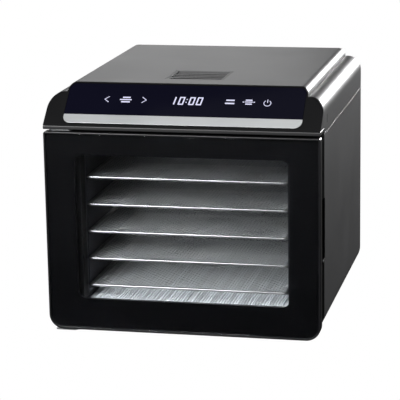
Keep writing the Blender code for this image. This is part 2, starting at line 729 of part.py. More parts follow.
def drip_tray():
    """Shallow pan on the chamber floor that catches drips, with a low lip at its front."""
    half = CHAMBER - MOUTH_CORNER - JOIN_GAP
    front = FRONT + TRAY_SETBACK - DRIP_REACH
    bottom = FLOOR + JOIN_GAP
    pan = box("drip_tray", (-half, front, bottom), (half, front + DRIP_REACH + TRAY_DEPTH, bottom + DRIP_SHEET),
              STAINLESS)
    lip = box("drip_lip", (-half, front, bottom), (half, front + DRIP_SHEET, bottom + DRIP_LIP),
              collection=CUTTERS)
    join(pan, lip)


# ---------------------------------------------------------------- rear compartment
def fan_baffle():
    """Rear wall of the chamber, with air holes over the fan and round its edge."""
    rows = 9
    columns = 5
    margin = 0.020
    half = CHAMBER - margin
    holes = []
    for row in range(rows):
        z = FLOOR + margin + (CEILING - FLOOR - 2 * margin) * row / (rows - 1)
        for column in range(columns):
            x = half * 2 * ((column + 0.5) / columns - 0.5)
            holes.append(rectangle((x, z), half * 2 / columns * 0.75, 0.006))
    x, z = probe_place()
    holes.append(circle((x, z), 0.0025 + FIT_GAP, 12))
    outline = rounded((-CHAMBER - 0.020, FLOOR - 0.012), (CHAMBER + 0.020, CEILING + 0.012), 0.004)
    place = (0, BAFFLE + BAFFLE_SHEET / 2, 0)
    plate("fan_baffle", outline, BAFFLE_SHEET, place, FACING_FRONT, STAINLESS, holes)


def probe_place():
    return (CHAMBER - 0.008, FLOOR + 0.010)


def temperature_probe():
    """Thermistor in a steel sleeve through the baffle."""
    x, z = probe_place()
    turned("temperature_probe", [(0, 0.006), (0.0015, 0.006), (0.0025, 0.005), (0.0025, -0.014), (0, -0.014)],
           (x, BAFFLE, z), FACING_FRONT, ZINC, steps=12)


def thermal_cutout():
    """Disc thermostat behind the baffle."""
    x = -CHAMBER - 0.006
    z = FAN_Z + 0.06
    turned("thermal_cutout", [(0, 0.007), (0.004, 0.007), (0.004, 0.004), (0.008, 0.004), (0.008, 0), (0, 0)],
           (x, BAFFLE_BACK + JOIN_GAP, z), Euler((-math.pi / 2, 0, 0)), ZINC, steps=16)


def fan(axis):
    """Axial fan wheel and its shaft."""
    near = BAFFLE_BACK + FAN_CLEARANCE
    hub = turned("fan_impeller", [(0, FAN_DEPTH / 2), (HUB_RADIUS - 0.002, FAN_DEPTH / 2),
                 (HUB_RADIUS, FAN_DEPTH / 2 - 0.002), (HUB_RADIUS, -FAN_DEPTH / 2), (0, -FAN_DEPTH / 2)],
                 axis.location, FACING_FRONT, ALUMINIUM, axis)
    pitch = math.radians(32)
    root = HUB_RADIUS * 0.7
    for number in range(FAN_BLADES):
        blade = box(f"blade_{number}", (root, -0.013, -0.0006), (FAN_RADIUS, 0.013, 0.0006),
                    collection=CUTTERS)
        around = 2 * math.pi * number / FAN_BLADES
        blade.matrix_world = (Matrix.Translation(axis.location) @ FACING_FRONT.to_matrix().to_4x4()
                              @ Matrix.Rotation(around, 4, "Z") @ Matrix.Rotation(pitch, 4, "X"))
        join(hub, blade)
    bore_end = axis.location + Vector((0, -FAN_DEPTH / 2 + 0.004, 0))
    cut(hub, drill("shaft_bore", SHAFT_RADIUS + FIT_GAP, 0, -0.02, bore_end, FACING_FRONT))
    start = near + 0.005
    end = motor_front() + 0.010
    turned("motor_shaft", [(0, end - start), (SHAFT_RADIUS, end - start), (SHAFT_RADIUS, 0), (0, 0)],
           (0, start, FAN_Z), Euler((-math.pi / 2, 0, 0)), ZINC, axis, steps=16)


def motor_front():
    return BAFFLE_BACK + JOIN_GAP + BRACKET_STAND + BRACKET_SHEET + JOIN_GAP


def fan_motor():
    """Motor can, with a bearing bore that the shaft turns in."""
    bore = SHAFT_RADIUS + FIT_GAP
    length = MOTOR_LENGTH
    turned("fan_motor", [(0, length), (0.009, length), (0.009, length - 0.003), (MOTOR_RADIUS, length - 0.003),
           (MOTOR_RADIUS, 0), (bore, 0), (bore, 0.012), (0, 0.012)],
           (0, motor_front(), FAN_Z), Euler((-math.pi / 2, 0, 0)), ZINC)


def motor_bracket():
    """Top-hat strap from the baffle that carries the motor."""
    inner = HEATER_RADIUS + HEATER_TUBE + 0.004
    near = BAFFLE_BACK + JOIN_GAP
    far = near + BRACKET_STAND
    outer = inner + BRACKET_SHEET
    foot = inner + BRACKET_FOOT
    profile = [(-foot, near), (-inner, near), (-inner, far), (inner, far), (inner, near), (foot, near),
               (foot, near + BRACKET_SHEET), (outer, near + BRACKET_SHEET), (outer, far + BRACKET_SHEET),
               (-outer, far + BRACKET_SHEET), (-outer, near + BRACKET_SHEET), (-foot, near + BRACKET_SHEET)]
    bracket = plate("motor_bracket", profile, BRACKET_HEIGHT, (0, 0, FAN_Z), FACING_UP, ZINC)
    place = (0, far + 0.01, FAN_Z)
    cut(bracket, drill("bracket_hole", SHAFT_RADIUS + 0.003, 0.05, -0.01, place, FACING_FRONT))


def heater_element():
    """Tubular heater: an open ring round the fan, with its two ends turned to the back."""
    y = BAFFLE_BACK + FAN_CLEARANCE + FAN_DEPTH / 2
    opening = 12
    ring = arc((0, FAN_Z), HEATER_RADIUS, -90 + opening, 270 - opening, 40)
    points = [(ring[0][0], y + 0.030, ring[0][1])]
    points += [(x, y, z) for x, z in ring]
    points += [(ring[-1][0], y + 0.030, ring[-1][1])]
    curve = bpy.data.curves.new("heater_element", "CURVE")
    curve.dimensions = "3D"
    curve.bevel_depth = HEATER_TUBE / 2
    curve.bevel_resolution = 2
    curve.use_fill_caps = True
    spline = curve.splines.new("POLY")
    spline.points.add(len(points) - 1)
    for point, place in zip(spline.points, points):
        point.co = (*place, 1)
    heater = bpy.data.objects.new("heater_element", curve)
    curve.materials.append(ZINC)
    PARTS.objects.link(heater)


def heater_clip():
    """Ceramic block on the baffle, under the fan, with a slot that the heater's ring lies in."""
    y = BAFFLE_BACK + FAN_CLEARANCE + FAN_DEPTH / 2
    reach = HEATER_TUBE / 2 + FIT_GAP
    z = FAN_Z + HEATER_RADIUS
    profile = [(BAFFLE_BACK + JOIN_GAP, z - 0.007), (y + 0.007, z - 0.007), (y + 0.007, z - reach),
               (y - reach, z - reach), (y - reach, z + reach), (y + 0.007, z + reach), (y + 0.007, z + 0.007),
               (BAFFLE_BACK + JOIN_GAP, z + 0.007)]
    plate("heater_clip", profile, 0.010, (0, 0, 0), FACING_SIDE, RUBBER)


def power_board():
    """Mains board standing on the base behind the chamber, with relay, capacitor and transformer."""
    y = BACK - 0.040
    low = UNDER + SHEET + 0.004
    board = box("power_board", (-0.055, y, low), (0.055, y + BOARD_THICKNESS, low + 0.036), BOARD_GREEN)
    blocks = {"relay": (-0.045, 0.018, 0.015, 0.020), "capacitor": (-0.010, 0.016, 0.012, 0.013),
              "transformer": (0.024, 0.026, 0.022, 0.026)}
    for name, (x, width, depth, height) in blocks.items():
        block = box(name, (x, y + BOARD_THICKNESS / 2, low + 0.005),
                    (x + width, y + BOARD_THICKNESS / 2 + depth, low + 0.005 + height), collection=CUTTERS)
        join(board, block)


# ---------------------------------------------------------------- door
def door(axis):
    """Glass door: moulded frame, tempered glass, seal with its retainer, and a steel strike."""
    def outline(shrink):
        half = SIDE - shrink
        upper = DOOR_TOP_CORNER if shrink < DOOR_TOP_CORNER / 2 else DOOR_TOP_CORNER / 2
        return rounded((-half, UNDER + shrink), (half, DOOR_TOP - shrink), DOOR_CORNER - shrink, upper)

    half = WINDOW_WIDTH / 2
    window = rounded((-half, UNDER + WINDOW_BOTTOM), (half, UNDER + WINDOW_TOP), WINDOW_CORNER)
    frame = plate("door_frame", outline(0), DOOR_THICKNESS, (0, FRONT + DOOR_THICKNESS / 2, 0), FACING_FRONT,
                  BLACK_PLASTIC, [window], axis)
    soften(frame, DOOR_EDGE)
    pocket_depth = GLASS_THICKNESS + 2 * JOIN_GAP
    pocket = plate("glass_pocket", outline(GLASS_RIM), 2 * pocket_depth, (0, FRONT, 0), FACING_FRONT,
                   collection=CUTTERS)
    cut(frame, pocket)
    for name, z in (("upper_pin_hole", DOOR_TOP), ("lower_pin_hole", UNDER)):
        depth = HINGE_PIN_REACH + FIT_GAP
        cut(frame, drill(name, HINGE_HOLE, depth, -depth, (DOOR_AXIS.x, DOOR_AXIS.y, z), FACING_UP))
    glass_middle = FRONT + JOIN_GAP + GLASS_THICKNESS / 2
    plate("door_glass", outline(GLASS_RIM + JOIN_GAP), GLASS_THICKNESS, (0, glass_middle, 0), FACING_FRONT,
          DOOR_GLASS, parent=axis)
    start = DOOR_BACK + JOIN_GAP
    seal_depth = MOUTH - JOIN_GAP - start
    place = (0, start + seal_depth / 2, 0)
    plate("door_seal", mouth_outline(SEAL_OFFSET + SEAL_WIDTH), seal_depth, place, FACING_FRONT, SILICONE,
          [mouth_outline(SEAL_OFFSET)], axis)
    inner = SEAL_OFFSET + SEAL_WIDTH + JOIN_GAP
    retainer_depth = 0.0010
    plate("door_seal_retainer", mouth_outline(inner + RETAINER_WIDTH), retainer_depth,
          (0, start + retainer_depth / 2, 0), FACING_FRONT, BLACK_PLASTIC, [mouth_outline(inner)], axis)
    x, z = catch_place()
    box("door_strike", (x - 0.006, start, z - 0.018), (x + 0.006, start + 0.0012, z + 0.018), ZINC, parent=axis)


def catch_place():
    return (SIDE - 0.012, UNDER + FINGER_TOP + 0.040)


def magnet_catch():
    """Magnet block on the front frame that holds the door shut."""
    x, z = catch_place()
    box("magnet_catch", (x - 0.005, MOUTH, z - 0.015), (x + 0.005, FRAME_FACE - JOIN_GAP, z + 0.015), MAGNET)


def hinges():
    """Two steel plates, over and under the door's left edge, each with a pin into the door."""
    left = DOOR_AXIS.x - HINGE_PIN - 0.0005
    right = DOOR_AXIS.x + 0.024
    upper = HEADER_BOTTOM - JOIN_GAP - HINGE_PLATE / 2
    lower = UNDER - JOIN_GAP - HINGE_PLATE / 2
    hole = circle((DOOR_AXIS.x, DOOR_AXIS.y), HINGE_HOLE)
    nose = FRONT + 0.002
    for name, middle, end in (("hinge_plate_upper", upper, FRONT + SHEET_SETBACK - 0.001),
                              ("hinge_plate_lower", lower, FRONT + SHEET_SETBACK + 0.030)):
        outline = rounded((left, nose), (right, end), 0.004)
        plate(name, outline, HINGE_PLATE, (0, 0, middle), FACING_UP, ZINC, [hole])
    pin = HINGE_PIN / 2
    for name, top, bottom in (("upper", upper + HINGE_PLATE / 2, DOOR_TOP - HINGE_PIN_REACH),
                              ("lower", UNDER + HINGE_PIN_REACH, lower - HINGE_PLATE / 2)):
        turned(f"hinge_pin_{name}", [(0, top), (pin, top), (pin, bottom), (0, bottom)],
               (DOOR_AXIS.x, DOOR_AXIS.y, 0), FACING_UP, ZINC, steps=16)


# ---------------------------------------------------------------- put it together
top_cover()
side_panel("side_panel_left", -1)
RIGHT_PANEL = side_panel("side_panel_right", 1)
base_plate()
rear_cover()
rear_screws()
cord_inlet()
feet()
vent_grille()
control_fascia()
control_glass()
trim_strip()
control_electronics()
door_header()
cut(RIGHT_PANEL, front_frame())
chamber_liner()
tray_racks()
for index, tray_bottom in enumerate(TRAY_BOTTOMS, 1):
    tray(index, tray_bottom)
drip_tray()
fan_baffle()
temperature_probe()
thermal_cutout()
fan_middle = Vector((0, BAFFLE_BACK + FAN_CLEARANCE + FAN_DEPTH / 2, FAN_Z))
fan(empty("fan_axis", fan_middle))
fan_motor()
motor_bracket()
heater_element()
heater_clip()
power_board()
door(empty("door_axis", DOOR_AXIS))
magnet_catch()
hinges()
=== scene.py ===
import math

import bmesh
import bpy
from mathutils import Matrix, Vector


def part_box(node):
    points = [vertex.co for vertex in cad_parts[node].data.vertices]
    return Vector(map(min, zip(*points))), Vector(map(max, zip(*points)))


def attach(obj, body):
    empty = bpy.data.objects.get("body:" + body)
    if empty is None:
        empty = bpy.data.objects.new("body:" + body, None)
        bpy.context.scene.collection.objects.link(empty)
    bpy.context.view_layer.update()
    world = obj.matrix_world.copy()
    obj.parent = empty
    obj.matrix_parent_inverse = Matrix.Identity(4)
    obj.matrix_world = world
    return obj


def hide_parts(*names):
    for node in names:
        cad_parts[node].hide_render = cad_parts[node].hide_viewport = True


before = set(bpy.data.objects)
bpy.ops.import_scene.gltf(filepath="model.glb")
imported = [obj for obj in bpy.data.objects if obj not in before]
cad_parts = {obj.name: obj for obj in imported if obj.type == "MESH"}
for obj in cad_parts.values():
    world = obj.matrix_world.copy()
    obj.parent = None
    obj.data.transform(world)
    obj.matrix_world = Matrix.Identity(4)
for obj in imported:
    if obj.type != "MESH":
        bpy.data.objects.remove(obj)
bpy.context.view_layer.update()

# ---------------------------------------------------------------- camera
# Seen from the front right and a little above, through a long lens from over two metres away.
AZIMUTH = math.radians(12.626)
ELEVATION = math.radians(13.328)
ROLL = math.radians(-0.950)
CAMERA_PLACE = (0.5042, -2.3273, 0.6990)
FOCAL_LENGTH = 166.85      # millimetres, as is the film
FILM_WIDTH = 36
VIEW_END = 50

backwards = Vector((math.sin(AZIMUTH) * math.cos(ELEVATION), -math.cos(AZIMUTH) * math.cos(ELEVATION),
                    math.sin(ELEVATION)))
sideways = Vector((math.cos(AZIMUTH), math.sin(AZIMUTH), 0))
upwards = backwards.cross(sideways)
camera_x = math.cos(ROLL) * sideways + math.sin(ROLL) * upwards
camera_y = -math.sin(ROLL) * sideways + math.cos(ROLL) * upwards
camera = bpy.data.objects.new("camera", bpy.data.cameras.new("camera"))
camera.data.lens = FOCAL_LENGTH
camera.data.sensor_width = FILM_WIDTH
camera.data.clip_end = VIEW_END
camera.matrix_world = Matrix.Translation(CAMERA_PLACE) @ Matrix((camera_x, camera_y, backwards)).transposed().to_4x4()
bpy.context.scene.collection.objects.link(camera)
bpy.context.scene.camera = camera

# ---------------------------------------------------------------- floor and studio
# A white paper floor and surround, blown out to the eye but grey in reflections, as between black cards.
# Soft boxes stand in front, above and behind; the one behind on the right draws the long edges.
FLOOR_REACH = 12.0
PAPER_GREY = 0.06          # to all but the camera
SURROUND_GREY = 0.03


def new_material(name):
    """Material with an empty tree and its output node."""
    material = bpy.data.materials.new(name)
    material.use_nodes = True
    tree = material.node_tree
    tree.nodes.clear()
    return material, tree, tree.nodes.new("ShaderNodeOutputMaterial")


def paper_white():
    """White where it is looked at, and grey paper to everything that it lights."""
    material, tree, output = new_material("white_paper")
    path = tree.nodes.new("ShaderNodeLightPath")
    seen = tree.nodes.new("ShaderNodeEmission")
    seen.inputs["Color"].default_value = (1, 1, 1, 1)
    paper = tree.nodes.new("ShaderNodeBsdfDiffuse")
    paper.inputs["Color"].default_value = (PAPER_GREY, PAPER_GREY, PAPER_GREY, 1)
    mix = tree.nodes.new("ShaderNodeMixShader")
    tree.links.new(path.outputs["Is Camera Ray"], mix.inputs["Fac"])
    tree.links.new(paper.outputs[0], mix.inputs[1])
    tree.links.new(seen.outputs[0], mix.inputs[2])
    tree.links.new(mix.outputs[0], output.inputs["Surface"])
    return material


bm = bmesh.new()
bmesh.ops.create_grid(bm, x_segments=1, y_segments=1, size=FLOOR_REACH)
floor_mesh = bpy.data.meshes.new("studio_floor")
bm.to_mesh(floor_mesh)
bm.free()
floor_mesh.materials.append(paper_white())
studio_floor = bpy.data.objects.new("studio_floor", floor_mesh)
bpy.context.scene.collection.objects.link(studio_floor)

world = bpy.data.worlds.new("studio")
world.use_nodes = True
bpy.context.scene.world = world
surround = world.node_tree.nodes["Background"]
path = world.node_tree.nodes.new("ShaderNodeLightPath")
level = world.node_tree.nodes.new("ShaderNodeMapRange")
level.inputs["To Min"].default_value = SURROUND_GREY
level.inputs["To Max"].default_value = 1.0
world.node_tree.links.new(path.outputs["Is Camera Ray"], level.inputs["Value"])
world.node_tree.links.new(level.outputs["Result"], surround.inputs["Strength"])
surround.inputs["Color"].default_value = (1, 1, 1, 1)
bpy.context.scene.view_settings.view_transform = "Standard"


def soft_box(name, place, aim, width, height, power):
    """Oblong lamp aimed at a point, with its power in watts. The lamp itself isn't seen."""
    light = bpy.data.lights.new(name, "AREA")
    light.shape = "RECTANGLE"
    light.size = width
    light.size_y = height
    light.energy = power
    lamp = bpy.data.objects.new(name, light)
    lamp.location = place
    lamp.rotation_euler = (Vector(aim) - Vector(place)).to_track_quat("-Z", "Y").to_euler()
    lamp.visible_camera = False
    bpy.context.scene.collection.objects.link(lamp)


soft_box("front_box", (-0.55, -1.5, 1.05), (0, -0.1, 0.12), 0.7, 0.6, 46)
soft_box("top_box", (0.1, -0.5, 1.6), (0, 0, 0.2), 0.9, 0.7, 2.0)
soft_box("rear_right_box", (0.86, 2.6, 0.78), (0.16, -0.12, 0.30), 0.5, 0.5, 60)
soft_box("rear_left_box", (-0.55, 2.0, 0.85), (0, -0.1, 0.3), 0.8, 0.5, 2.6)
soft_box("side_card", (1.6, 0.9, 0.35), (0.17, 0.0, 0.15), 0.8, 0.8, 5)
soft_box("low_rear_box", (0.85, 2.2, 0.25), (0.17, 0.0, 0.15), 0.9, 0.4, 0.3)

# ---------------------------------------------------------------- side panels
# Two sheets of 0.8 mm steel in a dark satin metallic coat. Each is rolled round its lower long edge,
# returns under the base, and is drawn in round the back to a flange for the rear cover's screws.
HALF_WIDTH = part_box("side_panel_right")[1].x
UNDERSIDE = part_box("side_panel_right")[0].z
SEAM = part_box("side_panel_right")[1].z
PANEL_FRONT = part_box("side_panel_right")[0].y
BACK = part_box("top_cover")[1].y
LOWER_RADIUS = 0.027
UNDER_RETURN = 0.012
REAR_RADIUS = 0.008
REAR_STEP = 0.0033
REAR_FLANGE = 0.011
SHEET = 0.0008
GAP = 0.0003
X, Y, Z = Vector((1, 0, 0)), Vector((0, 1, 0)), Vector((0, 0, 1))


def node_group(name, inputs, outputs):
    """Empty effect group with its sockets: name to starting value, and name to kind of result."""
    group = bpy.data.node_groups.new(name, "ShaderNodeTree")
    for label, value in inputs.items():
        kind = "NodeSocketFloat" if isinstance(value, float) else "NodeSocketVector"
        socket = group.interface.new_socket(label, in_out="INPUT", socket_type=kind)
        socket.default_value = value
    for label in outputs:
        group.interface.new_socket(label, in_out="OUTPUT", socket_type="NodeSocketFloat")
    return group, group.nodes.new("NodeGroupInput"), group.nodes.new("NodeGroupOutput")


def streaked_noise():
    """Noise stretched by a vector: even values give grain, uneven ones give brushing. Tone is slow, Height fine."""
    group, given, result = node_group("streaked_noise", {"Stretch": (1.0, 1.0, 1.0), "Cloud Size": 0.08},
                                      ("Tone", "Height"))
    place = group.nodes.new("ShaderNodeTexCoord")
    stretch = group.nodes.new("ShaderNodeVectorMath")
    stretch.operation = "MULTIPLY"
    fine = group.nodes.new("ShaderNodeTexNoise")
    fine.inputs["Scale"].default_value = 1.0
    fine.inputs["Detail"].default_value = 3.0
    per_metre = group.nodes.new("ShaderNodeMath")
    per_metre.operation = "DIVIDE"
    per_metre.inputs[0].default_value = 1.0
    cloud = group.nodes.new("ShaderNodeTexNoise")
    cloud.inputs["Detail"].default_value = 2.0
    blend = group.nodes.new("ShaderNodeMath")
    blend.operation = "MULTIPLY_ADD"
    blend.inputs[1].default_value = 0.5
    half = group.nodes.new("ShaderNodeMath")
    half.operation = "MULTIPLY"
    half.inputs[1].default_value = 0.5
    link = group.links.new
    link(place.outputs["Object"], stretch.inputs[0])
    link(given.outputs["Stretch"], stretch.inputs[1])
    link(stretch.outputs["Vector"], fine.inputs["Vector"])
    link(place.outputs["Object"], cloud.inputs["Vector"])
    link(given.outputs["Cloud Size"], per_metre.inputs[1])
    link(per_metre.outputs[0], cloud.inputs["Scale"])
    link(cloud.outputs["Fac"], half.inputs[0])
    link(fine.outputs["Fac"], blend.inputs[0])
    link(half.outputs[0], blend.inputs[2])
    link(blend.outputs[0], result.inputs["Tone"])
    link(fine.outputs["Fac"], result.inputs["Height"])
    return group


STREAKS = streaked_noise()


def finish_material(name, dark, light, roughness, metallic, stretch, bump, cloud=0.08, **constants):
    """Surface that varies between two colours and two roughnesses with the streaks, which also give its relief."""
    material, tree, output = new_material(name)
    shader = tree.nodes.new("ShaderNodeBsdfPrincipled")
    shader.inputs["Metallic"].default_value = metallic
    for label, value in constants.items():
        shader.inputs[label.replace("_", " ")].default_value = value
    streaks = tree.nodes.new("ShaderNodeGroup")
    streaks.node_tree = STREAKS
    streaks.inputs["Stretch"].default_value = stretch
    streaks.inputs["Cloud Size"].default_value = cloud
    colour = tree.nodes.new("ShaderNodeMix")
    colour.data_type = "RGBA"
    colour.inputs["A"].default_value = (*dark, 1)
    colour.inputs["B"].default_value = (*light, 1)
    gloss = tree.nodes.new("ShaderNodeMapRange")
    gloss.inputs["From Min"].default_value = 0.25
    gloss.inputs["From Max"].default_value = 0.75
    gloss.inputs["To Min"].default_value = roughness[0]
    gloss.inputs["To Max"].default_value = roughness[1]
    relief = tree.nodes.new("ShaderNodeBump")
    relief.inputs["Strength"].default_value = 1.0
    relief.inputs["Distance"].default_value = bump
    link = tree.links.new
    link(streaks.outputs["Tone"], colour.inputs["Factor"])
    link(colour.outputs["Result"], shader.inputs["Base Color"])
    link(streaks.outputs["Tone"], gloss.inputs["Value"])
    link(gloss.outputs["Result"], shader.inputs["Roughness"])
    link(streaks.outputs["Height"], relief.inputs["Height"])
    link(relief.outputs["Normal"], shader.inputs["Normal"])
    link(shader.outputs[0], output.inputs["Surface"])
    return material


SATIN_GREY = finish_material("satin_grey_coat", (0.105, 0.105, 0.108), (0.150, 0.150, 0.154), (0.40, 0.47), 0.75,
                             (2600.0, 2600.0, 2600.0), 0.000004)


def rounded_line(bm, corners, radii, closed=False, steps=8):
    """Line through corner points, each corner rounded to its radius. Gives the line's edges."""
    before = set(bm.edges)
    verts = [bm.verts.new(corner) for corner in corners]
    for near, far in zip(verts, verts[1:] + verts[:1] if closed else verts[1:]):
        bm.edges.new((near, far))
    for vert, radius in zip(verts, radii):
        if radius:
            bmesh.ops.bevel(bm, geom=[vert], offset=radius, offset_type="OFFSET", segments=steps, profile=0.5,
                            affect="VERTICES", material=-1)
    return [edge for edge in bm.edges if edge not in before]


def inward_steps(bm, inside):
    """For each point of a line in the XZ plane, the move that sets the line in by one unit towards inside."""
    steps = {}
    for vert in bm.verts:
        normals = []
        for edge in vert.link_edges:
            along = (edge.other_vert(vert).co - vert.co).normalized()
            normal = Vector((-along.z, 0, along.x))
            if normal.dot(inside - vert.co) < 0:
                normal.negate()
            normals.append(normal)
        bend = 1 + normals[0].dot(normals[-1])
        steps[vert] = sum(normals, Vector()) * 2 / len(normals) / bend
    return steps


def extrude_line(bm, edges):
    """Extrudes a line where it is. Gives the new line's points and edges."""
    made = bmesh.ops.extrude_edge_only(bm, edges=edges)["geom"]
    points = [item for item in made if isinstance(item, bmesh.types.BMVert)]
    ends = set(points)
    return points, [item for item in made if isinstance(item, bmesh.types.BMEdge) and ends.issuperset(item.verts)]


def draw_back(bm, edges, inside, path, start=None, groove=None):
    """Draws a line back along Y: each step of the path is how far it is set in, and its Y. Gives the last edges.

    With start, a function of the height, Y is counted from there. A groove, given by the two ends of its
    span in X and its rim's height, is set in as one.
    """
    steps = inward_steps(bm, inside)
    for vert in bm.verts:
        if groove and groove[0] <= abs(vert.co.x) <= groove[1] and vert.co.z <= groove[2]:
            steps[vert] = Vector((-math.copysign(1, vert.co.x), 0, -1))
    known = {vert: (vert.co.copy(), steps[vert]) for vert in bm.verts}
    for inset, y in path:
        points, edges = extrude_line(bm, edges)
        fresh = {}
        for vert in points:
            source = next(edge.other_vert(vert) for edge in vert.link_edges if edge.other_vert(vert) in known)
            place, step = fresh[vert] = known[source]
            vert.co = place + step * inset
            vert.co.y = y + (start(vert.co.z) if start else 0)
        known = fresh
    return edges


def round_the_back(steps=6):
    """Path of the rounding round the back: (inset, y)."""
    turns = [math.pi / 2 * step / steps for step in range(steps + 1)]
    return [(REAR_RADIUS * (1 - math.cos(turn)), BACK - REAR_RADIUS * (1 - math.sin(turn))) for turn in turns]


def add_piece(bm, name, material, body, slot, *stands_for, recalculate=True, sharp=32):
    """Makes the mesh a piece that rides on a body and stands for CAD nodes, smooth but for its sharp edges."""
    if recalculate:
        bmesh.ops.recalc_face_normals(bm, faces=bm.faces)
    mesh = bpy.data.meshes.new(name)
    bm.to_mesh(mesh)
    bm.free()
    mesh.shade_smooth()
    mesh.set_sharp_from_angle(angle=math.radians(sharp))
    mesh.materials.append(material)
    piece = bpy.data.objects.new(name, mesh)
    bpy.context.scene.collection.objects.link(piece)
    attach(piece, body)
    if stands_for:
        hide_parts(*stands_for)
    return piece


def keep_flats(piece):
    """Shades large flat faces as flat, up to the small roundings round them."""
    flats = piece.modifiers.new("flats", "WEIGHTED_NORMAL")
    flats.keep_sharp = True
    flats.weight = 100


def give_wall(piece, thickness, edge=0.0002):
    """Sheet metal: the skin is the outer face, with the thickness behind it and the cut edges broken."""
    wall = piece.modifiers.new("sheet", "SOLIDIFY")
    wall.thickness = thickness
    wall.offset = -1
    wall.use_even_offset = True
    wall.use_quality_normals = True
    soften = piece.modifiers.new("edges", "BEVEL")
    soften.width = edge
    soften.segments = 2
    soften.limit_method = "ANGLE"
    soften.angle_limit = math.radians(50)
    keep_flats(piece)


def side_sheet(hand):
    """Outer skin of one side: hand is -1 on the left and 1 on the right."""
    corners = [(hand * HALF_WIDTH, PANEL_FRONT, SEAM), (hand * HALF_WIDTH, PANEL_FRONT, UNDERSIDE),
               (hand * (HALF_WIDTH - LOWER_RADIUS - UNDER_RETURN), PANEL_FRONT, UNDERSIDE)]
    bm = bmesh.new()
    line = rounded_line(bm, corners, (0, LOWER_RADIUS, 0), steps=16)
    path = round_the_back() + [(REAR_RADIUS, BACK - REAR_STEP), (REAR_RADIUS + REAR_FLANGE, BACK - REAR_STEP)]
    draw_back(bm, line, Vector((0, PANEL_FRONT, SEAM)), path)
    return bm


def face_outwards(bm, middle):
    """Turns an open skin so that its biggest face looks away from the middle."""
    bmesh.ops.recalc_face_normals(bm, faces=bm.faces)
    biggest = max(bm.faces, key=lambda face: face.calc_area())
    if biggest.normal.dot(biggest.calc_center_median() - middle) < 0:
        bmesh.ops.reverse_faces(bm, faces=bm.faces)


def cut_window(bm, point, normal, cuts):
    """Cuts a window in the flat faces through a point: each cut is a point and a direction out of the window."""
    def flat_faces():
        return [face for face in bm.faces if abs(face.normal.dot(normal)) > 0.999
                and abs((face.calc_center_median() - point).dot(normal)) < GAP]

    for place, out in cuts:
        faces = flat_faces()
        around = {item for face in faces for item in (*face.verts, *face.edges)}
        bmesh.ops.bisect_plane(bm, geom=faces + list(around), dist=0.00001, plane_co=place, plane_no=out)
    inside = [face for face in flat_faces()
              if all((face.calc_center_median() - place).dot(out) < 0 for place, out in cuts)]
    bmesh.ops.delete(bm, geom=inside, context="FACES")


FINGER_LOW = UNDERSIDE + 0.097
FINGER_HIGH = UNDERSIDE + 0.173
FINGER_DEPTH = 0.005

for side, hand in (("left", -1), ("right", 1)):
    bm = side_sheet(hand)
    face_outwards(bm, Vector((0, 0, SEAM)))
    if hand > 0:
        cut_window(bm, HALF_WIDTH * X, X,
                   [((PANEL_FRONT + FINGER_DEPTH) * Y, Y), (FINGER_LOW * Z, -Z), (FINGER_HIGH * Z, Z)])
    sheet = add_piece(bm, f"side_sheet_{side}", SATIN_GREY, "cabinet", "housing_metal", f"side_panel_{side}",
                      recalculate=False)
    give_wall(sheet, SHEET)

# ---------------------------------------------------------------- top cover
# One pressing of the same steel: a raised middle, a narrow groove along each side of it, and two round
# shoulders whose sides come down to the seam. It has an opening for the vent and a clip slot in each side.
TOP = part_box("top_cover")[1].z
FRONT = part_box("door_header")[0].y
COVER_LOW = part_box("top_cover")[0].z
RAISED = 0.151
RAISED_RADIUS = 0.0095
SHOULDER = TOP - 0.0105
SHOULDER_RADIUS = 0.018
GROOVE_WIDTH = 0.0014
GROOVE_DEPTH = 0.0012
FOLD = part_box("control_fascia")[0].z
SLOPE_RUN = 0.052
FASCIA_RIM = 0.002
VENT_LOW, VENT_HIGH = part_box("vent_grille")
CLIP_SLOT = (0.002, 0.010)
CLIP_SLOT_PLACE = Vector((0, FRONT + 0.053, UNDERSIDE + 0.268))


def slope_y(z):
    """Y of the control slope's face at a height."""
    return FRONT + max(0.0, z - FOLD) * SLOPE_RUN / (TOP - FOLD)


def right_and_left(points):
    """The points of the right half, then their mirror images in return order."""
    return points + [(-x, y, z) for x, y, z in reversed(points)]


def top_section(with_groove=True):
    """Corners and radii across the top, from right to left."""
    corners = [(HALF_WIDTH, 0, SHOULDER)]
    radii = [SHOULDER_RADIUS]
    if with_groove:
        corners += [(RAISED + GROOVE_WIDTH, 0, SHOULDER), (RAISED + GROOVE_WIDTH, 0, SHOULDER - GROOVE_DEPTH),
                    (RAISED, 0, SHOULDER - GROOVE_DEPTH)]
        radii += [0.0005, 0.0003, 0.0003]
    else:
        corners += [(RAISED, 0, SHOULDER)]
        radii += [0.0005]
    return corners + [(RAISED, 0, TOP)], radii + [RAISED_RADIUS]


